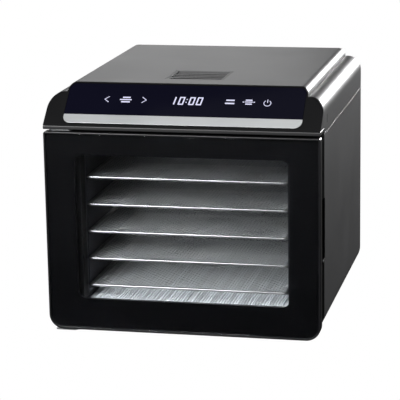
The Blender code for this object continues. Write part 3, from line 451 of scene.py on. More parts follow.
bm = bmesh.new()
corners, radii = top_section()
corners = [(HALF_WIDTH, 0, COVER_LOW), (HALF_WIDTH, 0, FOLD + GAP), (HALF_WIDTH, 0, FOLD + 2 * GAP)] + corners
radii = [0, 0, 0] + radii
line = rounded_line(bm, right_and_left(corners), radii + radii[::-1], steps=12)
for vert in bm.verts:
    vert.co.y = slope_y(vert.co.z) + FASCIA_RIM + GAP if vert.co.z > FOLD + 1.5 * GAP else PANEL_FRONT
draw_back(bm, line, Vector((0, PANEL_FRONT, COVER_LOW)), round_the_back(),
          groove=(RAISED - GAP, RAISED + 2 * GROOVE_WIDTH, SHOULDER + GAP))
face_outwards(bm, Vector((0, 0, COVER_LOW)))
cut_window(bm, TOP * Z, Z, [(VENT_HIGH, X), (VENT_LOW, -X), (VENT_HIGH, Y), (VENT_LOW, -Y)])
for hand in (-1, 1):
    wall = CLIP_SLOT_PLACE + hand * HALF_WIDTH * X
    half = Vector((0, CLIP_SLOT[0] / 2, CLIP_SLOT[1] / 2))
    cut_window(bm, wall, X, [(wall + half, Y), (wall - half, -Y), (wall + half, Z), (wall - half, -Z)])
cover = add_piece(bm, "top_pressing", SATIN_GREY, "cabinet", "housing_metal", "top_cover", recalculate=False)
give_wall(cover, SHEET)

# ---------------------------------------------------------------- base plate
# Plain zinc plated sheet between the side panels' returns, which nobody sees but from underneath.
ZINC = finish_material("zinc_plating", (0.36, 0.37, 0.38), (0.56, 0.57, 0.58), (0.32, 0.50), 1.0,
                       (900.0, 900.0, 900.0), 0.000006, cloud=0.02)


def coat(material, *nodes):
    """Gives CAD nodes, which are shown as they are, their material."""
    for name in nodes:
        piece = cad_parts[name]
        piece.data.materials.clear()
        piece.data.materials.append(material)


coat(ZINC, "base_plate")

# ---------------------------------------------------------------- vent grille
# Black moulding let into the top: a flat rim round five sloping louvres.
VENT_RIM = 0.004
LOUVRES = 5
LOUVRE_LEAN = math.radians(-9)
LOUVRE_COVER = 0.66        # of the pitch
LOUVRE_THICKNESS = 0.0011
LOUVRE_DROP = 0.0016       # below the rim
VENT_CORNER = 0.0018

MOULDED_BLACK = finish_material("moulded_black", (0.0040, 0.0040, 0.0044), (0.0070, 0.0070, 0.0075), (0.34, 0.44),
                                0.0, (3200.0, 3200.0, 3200.0), 0.000012, Specular_IOR_Level=0.10)
VENT_BLACK = finish_material("vent_black", (0.036, 0.036, 0.037), (0.052, 0.052, 0.054), (0.40, 0.52), 0.0,
                             (3200.0, 3200.0, 3200.0), 0.000012)


def rounded_frame(bm, low, high, radii, level=0.0, steps=6):
    """Closed line round a rectangle in the XY plane, with its lower and upper corner radii."""
    corners = [(low[0], low[1], level), (high[0], low[1], level), (high[0], high[1], level), (low[0], high[1], level)]
    return rounded_line(bm, corners, (radii[0], radii[0], radii[1], radii[1]), closed=True, steps=steps)


def corner_of(point, ring):
    """Centre and radius of the rounded corner of a ring that a point of it belongs to."""
    low, high, radii, level = ring
    radius = radii[0] if point.y < (low[1] + high[1]) / 2 else radii[1]
    x = low[0] + radius if point.x < (low[0] + high[0]) / 2 else high[0] - radius
    y = low[1] + radius if point.y < (low[1] + high[1]) / 2 else high[1] - radius
    return Vector((x, y, level)), radius


def ring_solid(rings, steps=6, matrix=Matrix.Identity(4)):
    """Closed ring: each corner of its section follows a rounded rectangle (low, high, radii, level)."""
    bm = bmesh.new()
    edges = rounded_frame(bm, *rings[0], steps=steps)
    for before, after in zip(rings, rings[1:] + rings[:1]):
        points, edges = extrude_line(bm, edges)
        for vert in points:
            centre, radius = corner_of(vert.co, before)
            target, new_radius = corner_of(vert.co, after)
            vert.co = target + (vert.co - centre) * new_radius / radius
    bmesh.ops.remove_doubles(bm, verts=bm.verts, dist=0.000005)
    bm.transform(matrix)
    bmesh.ops.recalc_face_normals(bm, faces=bm.faces)
    return bm


def soften_edges(bm, width, segments=2, angle=40):
    """Rounds the edges that are sharper than an angle."""
    sharp = [edge for edge in bm.edges if len(edge.link_faces) == 2
             and edge.calc_face_angle() > math.radians(angle)]
    bmesh.ops.bevel(bm, geom=sharp, offset=width, offset_type="OFFSET", segments=segments, profile=0.5,
                    affect="EDGES", material=-1, clamp_overlap=True)


def merge_in(bm, part):
    """Adds a mesh to another one, and frees it."""
    mesh = bpy.data.meshes.new("part")
    part.to_mesh(mesh)
    part.free()
    bm.from_mesh(mesh)
    bpy.data.meshes.remove(mesh)


def add_block(bm, size, matrix):
    """Box of a size at a place, with its edges a little rounded."""
    block = bmesh.new()
    bmesh.ops.create_cube(block, size=1.0, matrix=Matrix.Diagonal((*size, 1)))
    soften_edges(block, min(size) * 0.2)
    block.transform(matrix)
    merge_in(bm, block)


rings = []
for shrink, z in ((0, VENT_HIGH.z), (0, VENT_LOW.z), (VENT_RIM, VENT_LOW.z), (VENT_RIM, VENT_HIGH.z)):
    rings.append(((VENT_LOW.x + shrink, VENT_LOW.y + shrink), (VENT_HIGH.x - shrink, VENT_HIGH.y - shrink),
                  (VENT_CORNER, VENT_CORNER), z))
bm = ring_solid(rings)
soften_edges(bm, 0.0002)
span = VENT_HIGH - VENT_LOW
pitch = (span.y - 2 * VENT_RIM) / LOUVRES
for number in range(LOUVRES):
    middle = Vector((0, VENT_LOW.y + VENT_RIM + pitch * (number + 0.5), VENT_HIGH.z - LOUVRE_DROP))
    add_block(bm, (span.x - 1.6 * VENT_RIM, pitch * LOUVRE_COVER, LOUVRE_THICKNESS),
              Matrix.Translation(middle) @ Matrix.Rotation(LOUVRE_LEAN, 4, "X"))
keep_flats(add_piece(bm, "vent_louvres", VENT_BLACK, "cabinet", "satin_black", "vent_grille"))

# ---------------------------------------------------------------- front frame
# Moulded black frame between the housing and the chamber, with a raised rim that the door seals on
# and a finger recess at its right edge. A ferrite magnet sits beside the rim and holds the door shut.
def softened(name, node, material, slot, width, body="cabinet", segments=2):
    """A CAD node's own shape with its edges rounded."""
    bm = bmesh.new()
    bm.from_mesh(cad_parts[node].data)
    bmesh.ops.remove_doubles(bm, verts=bm.verts, dist=0.00001)
    bmesh.ops.dissolve_limit(bm, angle_limit=math.radians(0.5), verts=bm.verts, edges=bm.edges)
    soften_edges(bm, width, segments, angle=35)
    piece = add_piece(bm, name, material, body, slot, node)
    keep_flats(piece)


softened("frame_moulding", "front_frame", MOULDED_BLACK, "satin_black", 0.0005)
BRIGHT_SCREW = finish_material("bright_screw", (0.70, 0.70, 0.70), (0.86, 0.86, 0.86), (0.22, 0.32), 1.0,
                               (1200.0, 1200.0, 1200.0), 0.000002)
SCREW_RADIUS = 0.0016
SCREW_HEIGHT = 0.0009
FRAME_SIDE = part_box("front_frame")[1].x


def domed_head(bm, radius, height, place, turn):
    """Domed screw head: a profile spun round its own axis, which stands along Z before the turn."""
    head = bmesh.new()
    verts = [head.verts.new((radius * math.sin(step * math.pi / 10), 0, height * math.cos(step * math.pi / 10)))
             for step in range(6)]
    verts.append(head.verts.new((radius, 0, -height)))
    verts.append(head.verts.new((0, 0, -height)))
    edges = [head.edges.new(pair) for pair in zip(verts, verts[1:])]
    bmesh.ops.spin(head, geom=verts + edges, cent=(0, 0, 0), axis=(0, 0, 1), angle=2 * math.pi, steps=16,
                   use_merge=True)
    bmesh.ops.remove_doubles(head, verts=head.verts, dist=0.000005)
    bmesh.ops.recalc_face_normals(head, faces=head.faces)
    head.transform(Matrix.Translation(place) @ turn)
    merge_in(bm, head)


bm = bmesh.new()
domed_head(bm, SCREW_RADIUS, SCREW_HEIGHT, (FRAME_SIDE, PANEL_FRONT - 0.003, FINGER_LOW - 0.002),
           Matrix.Rotation(math.pi / 2, 4, "Y"))
add_piece(bm, "frame_screw", BRIGHT_SCREW, "cabinet", "zinc_steel")
FERRITE = finish_material("ferrite", (0.020, 0.020, 0.022), (0.045, 0.045, 0.048), (0.45, 0.62), 0.3,
                          (1400.0, 1400.0, 1400.0), 0.00001)
softened("catch_magnet", "magnet_catch", FERRITE, "ferrite", 0.0004)

# ---------------------------------------------------------------- chamber liner and racks
# Brushed stainless sheets line the chamber, and a comb-shaped rack on each side carries the trays.
# Their steel is coloured dark with a navy cast: painted shade for the inside of the chamber.
LINER_STEEL_PAINTED_SHADE = finish_material("liner_steel_painted_shade", (0.075, 0.076, 0.092), (0.120, 0.122, 0.142), (0.30, 0.44), 0.9,
                              (60.0, 60.0, 3000.0), 0.000006)
coat(LINER_STEEL_PAINTED_SHADE, "liner_left", "liner_right", "liner_ceiling", "liner_floor")
softened("comb_rack_left", "rack_left", LINER_STEEL_PAINTED_SHADE, "stainless", 0.0003)
softened("comb_rack_right", "rack_right", LINER_STEEL_PAINTED_SHADE, "stainless", 0.0003)

# ---------------------------------------------------------------- fan wall and what is behind it
# Perforated stainless wall. Behind it are the fan on its motor, a ring heater held by a ceramic clip,
# the sensors and the mains board.
# The fan wall takes the same dark steel, painted shade for the back of the chamber.
coat(LINER_STEEL_PAINTED_SHADE, "fan_baffle")
ALUMINIUM = finish_material("fan_aluminium", (0.56, 0.57, 0.58), (0.70, 0.71, 0.72), (0.28, 0.40), 1.0,
                            (700.0, 700.0, 700.0), 0.000006)
CERAMIC = finish_material("ceramic", (0.60, 0.57, 0.50), (0.72, 0.69, 0.62), (0.50, 0.70), 0.0,
                          (900.0, 900.0, 900.0), 0.00002)
CIRCUIT_BOARD = finish_material("circuit_board", (0.006, 0.045, 0.020), (0.020, 0.110, 0.050), (0.30, 0.50), 0.0,
                                (700.0, 700.0, 700.0), 0.00002, cloud=0.004)
coat(ALUMINIUM, "fan_impeller")
coat(ZINC, "motor_shaft", "fan_motor", "motor_bracket", "heater_element", "temperature_probe", "thermal_cutout")
coat(CERAMIC, "heater_clip")
coat(CIRCUIT_BOARD, "power_board", "control_board")

# ---------------------------------------------------------------- drip tray
# Thin stainless pan on the chamber floor, pressed with fine ribs from front to back on both sides of a
# middle groove, with its front edge turned up as a lip.
PAN_LOW, PAN_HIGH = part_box("drip_tray")
RIB_PITCH = 0.0036
RIB_HEIGHT = 0.0013
RIB_MARGIN = 0.007
PAN_SHEET = 0.0006

BRUSHED_STEEL = finish_material("brushed_steel", (0.40, 0.40, 0.39), (0.56, 0.55, 0.54), (0.24, 0.36), 1.0,
                                (40.0, 2200.0, 2200.0), 0.000004)
PAN_STEEL = finish_material("pan_steel", (0.82, 0.83, 0.84), (0.95, 0.96, 0.97), (0.40, 0.52), 0.1,
                            (2200.0, 40.0, 2200.0), 0.000004)


def rib_lift(x):
    """Height of the pan at a place across it: ribs with flat tops, none at the edges, and the middle groove."""
    if abs(x) < RIB_PITCH * 0.6:
        return 0.0
    if abs(x) > PAN_HIGH.x - RIB_MARGIN:
        return 0.0
    return RIB_HEIGHT if (abs(x) / RIB_PITCH) % 1.0 < 0.5 else 0.0


def paint_groove_shade(material, low, high):
    """Darkens a finish towards a lower height: painted shade in the grooves between the ribs."""
    tree = material.node_tree
    shader = next(node for node in tree.nodes if node.type == "BSDF_PRINCIPLED")
    colour = shader.inputs["Base Color"].links[0].from_socket
    place = tree.nodes.new("ShaderNodeTexCoord")
    split = tree.nodes.new("ShaderNodeSeparateXYZ")
    depth = tree.nodes.new("ShaderNodeMapRange")
    depth.inputs["From Min"].default_value = low
    depth.inputs["From Max"].default_value = high
    depth.inputs["To Min"].default_value = 0.55
    shaded = tree.nodes.new("ShaderNodeMix")
    shaded.data_type = "RGBA"
    shaded.blend_type = "MULTIPLY"
    shaded.inputs["Factor"].default_value = 1.0
    tree.links.new(place.outputs["Object"], split.inputs[0])
    tree.links.new(split.outputs["Z"], depth.inputs["Value"])
    tree.links.new(colour, shaded.inputs["A"])
    tree.links.new(depth.outputs["Result"], shaded.inputs["B"])
    tree.links.new(shaded.outputs["Result"], shader.inputs["Base Color"])


# The pan's colour is darkened between its ribs: painted shade in the grooves.
paint_groove_shade(PAN_STEEL, PAN_LOW.z + PAN_SHEET, PAN_LOW.z + PAN_SHEET + RIB_HEIGHT)

bm = bmesh.new()
columns = round((PAN_HIGH.x - PAN_LOW.x) / RIB_PITCH * 4)
bmesh.ops.create_grid(bm, x_segments=columns, y_segments=1, size=0.5)
width = PAN_HIGH.x - PAN_LOW.x
pan_level = PAN_LOW.z + PAN_SHEET
for vert in bm.verts:
    vert.co.x *= width
    vert.co.z = pan_level + rib_lift(vert.co.x)
    vert.co.y = PAN_LOW.y + RIB_MARGIN if vert.co.y < 0 else PAN_HIGH.y - RIB_MARGIN


def edge_at(bm, y):
    """Edges that lie across at a place along Y."""
    return [edge for edge in bm.edges if all(abs(vert.co.y - y) < 0.00001 for vert in edge.verts)]


# Each end goes on as (along, rise) steps: flat at the back, and a lip at the front.
for y, steps in ((PAN_HIGH.y - RIB_MARGIN, [(0.002, 0), (RIB_MARGIN - 0.002, 0)]),
                 (PAN_LOW.y + RIB_MARGIN, [(-0.002, 0), (-RIB_MARGIN + 0.0026, 0), (-0.0003, 0.0002),
                                           (-0.0003, 0.0005)])):
    z = pan_level
    line = edge_at(bm, y)
    for along, rise in steps:
        y += along
        z += rise
        points, line = extrude_line(bm, line)
        for vert in points:
            vert.co.y = y
            vert.co.z = z
bmesh.ops.recalc_face_normals(bm, faces=bm.faces)
if sum(face.normal.z for face in bm.faces) < 0:
    bmesh.ops.reverse_faces(bm, faces=bm.faces)
pan = add_piece(bm, "ribbed_pan", PAN_STEEL, "drip_tray", "stainless", "drip_tray", recalculate=False)
give_wall(pan, PAN_SHEET, 0.0001)

# ---------------------------------------------------------------- trays
# Five trays of plain woven stainless wire, clamped in a rim that is folded over flat all round.
TRAYS = 5
WIRE_PITCH = 0.0042
WIRE = 0.00065
RIM_WIDTH = 0.005
TRAY_CORNER = 0.006

WIRE_STEEL = finish_material("wire_steel", (0.46, 0.46, 0.45), (0.66, 0.66, 0.65), (0.24, 0.36), 1.0,
                             (900.0, 900.0, 900.0), 0.000003)


def crimped_wire(length, phase):
    """One wire along X from its start at the origin, crimped up and down at each crossing."""
    bm = bmesh.new()
    ring = bmesh.ops.create_circle(bm, segments=4, radius=WIRE / 2, matrix=Matrix.Rotation(math.pi / 2, 4, "Y"))
    edges = list({edge for vert in ring["verts"] for edge in vert.link_edges})
    crossings = round(length / WIRE_PITCH)
    level = 0
    for crossing in range(crossings + 1):
        points, edges = extrude_line(bm, edges)
        target = 0 if crossing == crossings else (WIRE / 2 if (crossing + phase) % 2 else -WIRE / 2)
        along = length / crossings * (0.5 if crossing in (0, crossings) else 1.0)
        bmesh.ops.translate(bm, vec=(along, 0, target - level), verts=points)
        level = target
    bmesh.ops.holes_fill(bm, edges=bm.edges)
    bmesh.ops.recalc_face_normals(bm, faces=bm.faces)
    mesh = bpy.data.meshes.new("crimped_wire")
    bm.to_mesh(mesh)
    bm.free()
    return mesh


def woven_sheet(low, high):
    """Plain weave over a rectangle at height 0: wires both ways, each over one cross wire and under the next."""
    bm = bmesh.new()
    width, depth = high[0] - low[0], high[1] - low[1]
    for length, span, turn in ((width, depth, 0), (depth, width, math.pi / 2)):
        count = round(span / WIRE_PITCH)
        wires = [crimped_wire(length, phase) for phase in (0, 1)]
        for number in range(count):
            across = span * (number + 0.5) / count
            wire = wires[(number + (turn > 0)) % 2].copy()
            place = Matrix.Translation((low[0], low[1], 0)) @ Matrix.Rotation(turn, 4, "Z")
            wire.transform(place @ Matrix.Translation((0, -across if turn else across, 0)))
            bm.from_mesh(wire)
            bpy.data.meshes.remove(wire)
    return bm


tray_low, tray_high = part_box("tray_frame_1")
weave = woven_sheet((tray_low.x + RIM_WIDTH * 0.7, tray_low.y + RIM_WIDTH * 0.7),
                    (tray_high.x - RIM_WIDTH * 0.7, tray_high.y - RIM_WIDTH * 0.7))
weave_mesh = bpy.data.meshes.new("weave")
weave.to_mesh(weave_mesh)
weave.free()
for number in range(1, TRAYS + 1):
    low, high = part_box(f"tray_frame_{number}")
    rings = []
    for shrink, lift in ((0, 0.0006), (0, 0.0024), (0.0006, 0.0030), (RIM_WIDTH - 0.0010, 0.0030),
                         (RIM_WIDTH, 0.0022), (RIM_WIDTH, 0.0008), (RIM_WIDTH - 0.0010, 0), (0.0006, 0)):
        radius = TRAY_CORNER - min(shrink, TRAY_CORNER - 0.001)
        rings.append(((low.x + shrink, low.y + shrink), (high.x - shrink, high.y - shrink), (radius, radius),
                      low.z + lift))
    bm = ring_solid(rings)
    soften_edges(bm, 0.0003, angle=30)
    add_piece(bm, f"tray_rim_{number}", BRUSHED_STEEL, f"tray_{number}", "stainless", f"tray_frame_{number}",
              sharp=60)
    bm = bmesh.new()
    bm.from_mesh(weave_mesh)
    bmesh.ops.translate(bm, vec=(0, 0, (low.z + high.z) / 2), verts=bm.verts)
    add_piece(bm, f"tray_weave_{number}", WIRE_STEEL, f"tray_{number}", "stainless", f"tray_mesh_{number}",
              recalculate=False, sharp=80)
bpy.data.meshes.remove(weave_mesh)

# ---------------------------------------------------------------- control fascia
# Moulded black end of the top, cut to the slope. Its rim shows in front of the sheet and a spigot goes
# inside it; a shallow pocket in its face takes the glass and the trim strip.
FASCIA_SPIGOT = 0.0035
PANEL_BORDER = 0.002
PANEL_RECESS = 0.0018
PANEL_CORNER = 0.009
STRIP_CORNER = 0.010
STRIP_START = 0.005
STRIP_TOP = STRIP_START + 0.0138
SLOPE_ANGLE = math.atan2(TOP - FOLD, SLOPE_RUN)
SLOPE_LENGTH = math.hypot(TOP - FOLD, SLOPE_RUN)
ON_SLOPE = Matrix.Translation((0, FRONT, FOLD)) @ Matrix.Rotation(SLOPE_ANGLE, 4, "X")
SLOPE_NORMAL = ON_SLOPE.to_3x3() @ Vector((0, 0, 1))

bm = bmesh.new()
corners, radii = top_section(with_groove=False)
corners = right_and_left([(HALF_WIDTH, 0, FOLD)] + corners)
radii = [0] + radii
section = rounded_line(bm, corners, radii + radii[::-1], closed=True, steps=12)
for vert in bm.verts:
    vert.co.y = slope_y(vert.co.z)
inside = Vector((0, 0, FOLD + 0.01))
path = [(0.0009, 0.0), (0.0003, 0.0003), (0, 0.0009), (0, FASCIA_RIM), (SHEET + GAP, FASCIA_RIM),
        (SHEET + GAP, FASCIA_RIM + FASCIA_SPIGOT)]
spigot_end = draw_back(bm, section, inside, path, start=slope_y)
bmesh.ops.edgeloop_fill(bm, edges=spigot_end)
bmesh.ops.delete(bm, geom=[face for edge in section for face in edge.link_faces], context="FACES_KEEP_BOUNDARY")
front_edge = [edge for edge in bm.edges if len(edge.link_faces) == 1]
pocket = rounded_frame(bm, (-RAISED + PANEL_BORDER, STRIP_START),
                       (RAISED - PANEL_BORDER, SLOPE_LENGTH - PANEL_BORDER), (STRIP_CORNER, PANEL_CORNER), steps=8)
pocket_verts = {vert for edge in pocket for vert in edge.verts}
bmesh.ops.transform(bm, matrix=ON_SLOPE, verts=list(pocket_verts))
bmesh.ops.triangle_fill(bm, use_beauty=True, edges=front_edge + pocket, normal=SLOPE_NORMAL)
deep, pocket_floor = extrude_line(bm, pocket)
bmesh.ops.translate(bm, vec=-PANEL_RECESS * SLOPE_NORMAL, verts=deep)
bmesh.ops.edgeloop_fill(bm, edges=pocket_floor)
keep_flats(add_piece(bm, "fascia_moulding", MOULDED_BLACK, "cabinet", "satin_black", "control_fascia"))

# ---------------------------------------------------------------- control glass and trim strip
# Smoked touch glass with ground edges, over a strip of brushed aluminium that fills the pocket's lower end.
PANEL_GLASS = 0.0015

SMOKED_GLASS = finish_material("smoked_glass", (0.0026, 0.0026, 0.0066), (0.0034, 0.0034, 0.0086), (0.05, 0.09), 0.0,
                               (30.0, 30.0, 30.0), 0.0000005, Specular_IOR_Level=0.03)
BRUSHED_STRIP = finish_material("brushed_strip", (0.62, 0.64, 0.65), (0.80, 0.82, 0.83), (0.34, 0.46), 0.85,
                                (18.0, 2600.0, 2600.0), 0.000005)


def thicken(bm, faces, depth):
    """Extrudes flat faces along Z."""
    made = bmesh.ops.extrude_face_region(bm, geom=faces)["geom"]
    points = [item for item in made if isinstance(item, bmesh.types.BMVert)]
    bmesh.ops.translate(bm, vec=(0, 0, depth), verts=points)


def sloped_plate(name, low, high, radii, material, slot, node):
    """Plate in the pocket, flush with the slope, with its upper edge broken."""
    bm = bmesh.new()
    line = rounded_frame(bm, low, high, radii, steps=10)
    bmesh.ops.edgeloop_fill(bm, edges=line)
    thicken(bm, bm.faces[:], -PANEL_GLASS)
    bmesh.ops.recalc_face_normals(bm, faces=bm.faces)
    soften_edges(bm, 0.0003)
    bm.transform(ON_SLOPE)
    keep_flats(add_piece(bm, name, material, "cabinet", slot, node))


half = RAISED - PANEL_BORDER - GAP
sloped_plate("touch_glass", (-half, STRIP_TOP + GAP), (half, SLOPE_LENGTH - PANEL_BORDER - GAP),
             (0.0006, PANEL_CORNER - GAP), SMOKED_GLASS, "panel_glass", "control_glass")
sloped_plate("brushed_trim", (-half, STRIP_START + GAP), (half, STRIP_TOP), (STRIP_CORNER - GAP, 0.0006),
             BRUSHED_STRIP, "trim_aluminium", "trim_strip")

# ---------------------------------------------------------------- display and lit symbols
# Light guides that shine through the glass: arrows, heat and time marks, a clock of four digits and a
# power mark. The display module and its board stand behind the glass.
SYMBOL_LINE = 0.0428
SYMBOL_SHIFT = 0.0022
SYMBOL_THICKNESS = 0.0001
STROKE = 0.0009
ARROW_REACH = 0.0026       # half its width
ARROW_RISE = 0.0042        # half its height
DIGIT_WIDTH = 0.0052
DIGIT_HEIGHT = 0.0105
DIGIT_STROKE = 0.0017
DIGIT_LEAN = 0.16


def lit_white():
    """Cool white light of uneven strength, as through a diffuser."""
    material, tree, output = new_material("lit_white")
    shader = tree.nodes.new("ShaderNodeBsdfPrincipled")
    shader.inputs["Base Color"].default_value = (0.02, 0.02, 0.03, 1)
    shader.inputs["Roughness"].default_value = 0.4
    shader.inputs["Emission Strength"].default_value = 1.0
    place = tree.nodes.new("ShaderNodeTexCoord")
    cloud = tree.nodes.new("ShaderNodeTexNoise")
    cloud.inputs["Scale"].default_value = 240.0
    colour = tree.nodes.new("ShaderNodeMix")
    colour.data_type = "RGBA"
    colour.inputs["A"].default_value = (0.60, 0.60, 0.86, 1)
    colour.inputs["B"].default_value = (0.84, 0.84, 1.0, 1)
    tree.links.new(place.outputs["Object"], cloud.inputs["Vector"])
    tree.links.new(cloud.outputs["Fac"], colour.inputs["Factor"])
    tree.links.new(colour.outputs["Result"], shader.inputs["Emission Color"])
    tree.links.new(shader.outputs[0], output.inputs["Surface"])
    return material


def stroke(bm, start, end, width=STROKE):
    """Straight bar of light between two places on the slope."""
    start, end = Vector(start), Vector(end)
    along = end - start
    turn = Matrix.Rotation(math.atan2(along.y, along.x), 4, "Z")
    middle = (start + end) / 2
    bmesh.ops.create_cube(bm, size=1.0, matrix=Matrix.Translation((middle.x, middle.y, SYMBOL_THICKNESS)) @ turn
                          @ Matrix.Diagonal((along.length + width * 0.6, width, SYMBOL_THICKNESS, 1)))


def ring_stroke(bm, centre, radius, start, end, width=STROKE):
    """Arc of light: a flat bar swept about its centre, angles in degrees from the slope's X."""
    sweep = math.radians(end - start)
    turn = Matrix.Translation((*centre, SYMBOL_THICKNESS / 2)) @ Matrix.Rotation(math.radians(start), 4, "Z")
    near = bm.verts.new(turn @ Vector((radius - width / 2, 0, 0)))
    far = bm.verts.new(turn @ Vector((radius + width / 2, 0, 0)))
    bar = bm.edges.new((near, far))
    before = set(bm.faces)
    bmesh.ops.spin(bm, geom=[near, far, bar], cent=(*centre, 0), axis=(0, 0, 1), angle=sweep, steps=24)
    thicken(bm, [face for face in bm.faces if face not in before], SYMBOL_THICKNESS)


def digit(bm, left, bottom, bars):
    """Seven-bar digit; bars are the letters a to g that are lit, a at the top and then clockwise."""
    def place(x, y):
        return (left + x + y * DIGIT_LEAN, bottom + y)

    low, middle, high = ((place(0, y), place(DIGIT_WIDTH, y)) for y in (0, DIGIT_HEIGHT / 2, DIGIT_HEIGHT))
    ends = {"a": high, "b": (high[1], middle[1]), "c": (middle[1], low[1]), "d": low, "e": (middle[0], low[0]),
            "f": (high[0], middle[0]), "g": middle}
    for bar in bars:
        stroke(bm, *ends[bar], width=DIGIT_STROKE)


LIT_WHITE = lit_white()


def symbol(name, draw):
    """Piece of light on the slope, drawn by a function."""
    bm = bmesh.new()
    draw(bm)
    bm.transform(ON_SLOPE @ Matrix.Translation((SYMBOL_SHIFT, 0, 0)))
    add_piece(bm, name, LIT_WHITE, "cabinet", "display")


def arrow(centre, hand):
    """Two strokes that meet at a tip: hand is -1 for an arrow to the left and 1 to the right."""
    def draw(bm):
        for rise in (ARROW_RISE, -ARROW_RISE):
            stroke(bm, (centre + hand * ARROW_REACH, SYMBOL_LINE), (centre - hand * ARROW_REACH, SYMBOL_LINE + rise))
    return draw


def bars(centre, rows):
    """Short level bars one over the other: each row is (x offset, y offset, length, width)."""
    def draw(bm):
        for x, y, length, width in rows:
            stroke(bm, (centre + x - length / 2, SYMBOL_LINE + y), (centre + x + length / 2, SYMBOL_LINE + y), width)
    return draw


def clock(bm):
    """Four digits and a colon."""
    bottom = SYMBOL_LINE - DIGIT_HEIGHT / 2
    for left, lit in ((-0.0205, "bc"), (-0.0095, "abcdef"), (0.0035, "abcdef"), (0.0130, "abcdef")):
        digit(bm, left, bottom, lit)
    for y in (0.0032, 0.0076):
        stroke(bm, (-0.0008 + y * DIGIT_LEAN, bottom + y), (-0.0004 + y * DIGIT_LEAN, bottom + y), 0.0015)


def power_mark(bm):
    """Open ring with a stroke in its gap."""
    centre = (0.1006, SYMBOL_LINE - 0.0006)
    ring_stroke(bm, centre, 0.0043, 125, 415)
    stroke(bm, (centre[0], centre[1] + 0.0010), (centre[0], centre[1] + 0.0054))


symbol("symbol_back", arrow(-0.1005, -1))
symbol("symbol_heat", bars(-0.0765, ((0.0008, 0.0034, 0.0085, 0.0020), (0, 0, 0.0140, 0.0016),
                                     (0.0002, -0.0034, 0.0098, 0.0020))))
symbol("symbol_forward", arrow(-0.0530, 1))
symbol("clock_digits", clock)
symbol("symbol_timer", bars(0.0542, ((0.0004, 0.0026, 0.0092, 0.0020), (0, -0.0022, 0.0104, 0.0020))))
symbol("symbol_mode", bars(0.0776, ((0, 0.0034, 0.0072, 0.0018), (0, 0.0006, 0.0086, 0.0014),
                                    (0, -0.0026, 0.0072, 0.0018), (-0.0066, 0.0004, 0.0012, 0.0013),
                                    (0.0066, 0.0004, 0.0012, 0.0013))))
symbol("symbol_power", power_mark)
coat(MOULDED_BLACK, "display_module")

# ---------------------------------------------------------------- bar over the door
# Satin black bar across the front, between the fascia and the door, with rounded long edges.
HEADER_GREY = finish_material("header_black", (0.013, 0.013, 0.014), (0.020, 0.020, 0.021), (0.36, 0.46), 0.0,
                              (3200.0, 3200.0, 3200.0), 0.00001)

low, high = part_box("door_header")
bm = bmesh.new()
bmesh.ops.create_cube(bm, size=1.0, matrix=Matrix.Translation((low + high) / 2) @ Matrix.Diagonal((*(high - low), 1)))
soften_edges(bm, 0.0010, segments=3)
keep_flats(add_piece(bm, "header_bar", HEADER_GREY, "cabinet", "satin_black", "door_header"))

# ---------------------------------------------------------------- hinges
# Steel plates over and under the door's left edge, each with a pin that the door turns on.
for end in ("upper", "lower"):
    softened(f"hinge_leaf_{end}", f"hinge_plate_{end}", ZINC, "zinc_steel", 0.0003)
for end in ("upper", "lower"):
    softened(f"pin_{end}", f"hinge_pin_{end}", ZINC, "zinc_steel", 0.0004)
softened("strike_leaf", "door_strike", ZINC, "zinc_steel", 0.0003, "door")

# ---------------------------------------------------------------- door frame
# Black moulding with round lower corners. Its rim stands round the glass, which lies in a shallow pocket,
# and the window is open behind it.
DOOR_LOW, DOOR_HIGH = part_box("door_frame")
DOOR_CORNER = 0.0185
DOOR_TOP_CORNER = 0.003
DOOR_EDGE = 0.0012
GLASS_RIM = 0.0024
WINDOW_LOW = (-0.136, UNDERSIDE + 0.0390)
WINDOW_HIGH = (0.136, UNDERSIDE + 0.2257)
WINDOW_CORNER = 0.011
GLASS_FRONT, GLASS_BACK = (corner.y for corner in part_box("door_glass"))
POCKET = GLASS_BACK + GAP

GLOSS_BLACK = finish_material("gloss_black", (0.006, 0.006, 0.007), (0.008, 0.008, 0.009), (0.30, 0.38), 0.0,
                              (2400.0, 2400.0, 2400.0), 0.000002, Specular_IOR_Level=0.4)
UPRIGHT = Matrix(((1, 0, 0, 0), (0, 0, 1, 0), (0, 1, 0, 0), (0, 0, 0, 1)))   # (x, height, depth) to X, Z and Y


def door_ring(shrink, y):
    """The door's outline, set in by some distance."""
    return ((DOOR_LOW.x + shrink, DOOR_LOW.z + shrink), (DOOR_HIGH.x - shrink, DOOR_HIGH.z - shrink),
            (DOOR_CORNER - shrink, max(DOOR_TOP_CORNER - shrink, 0.0008)), y)


def window_ring(y):
    """The window's outline."""
    return WINDOW_LOW, WINDOW_HIGH, (WINDOW_CORNER, WINDOW_CORNER), y


rings = [door_ring(GLASS_RIM, POCKET), door_ring(GLASS_RIM, DOOR_LOW.y + 0.0003)]
for turn in range(5):
    angle = math.pi / 2 * turn / 4
    rings.append(door_ring(DOOR_EDGE * (1 - math.sin(angle)), DOOR_LOW.y + DOOR_EDGE * (1 - math.cos(angle))))
for turn in range(5):
    angle = math.pi / 2 * turn / 4
    rings.append(door_ring(DOOR_EDGE * (1 - math.cos(angle)), DOOR_HIGH.y - DOOR_EDGE * (1 - math.sin(angle))))
bm = ring_solid(rings + [window_ring(DOOR_HIGH.y), window_ring(POCKET)], steps=12, matrix=UPRIGHT)
keep_flats(add_piece(bm, "door_moulding", GLOSS_BLACK, "door", "satin_black", "door_frame"))

# ---------------------------------------------------------------- door glass
# Clear toughened glass over the whole door, with ground edges. A black enamel border is printed on its
# inner face round the window.
BORDER_LOW = (-0.1345, 0.0464)
BORDER_HIGH = (0.1345, 0.2302)
BORDER_CORNER = 0.011
ENAMEL = 0.00012


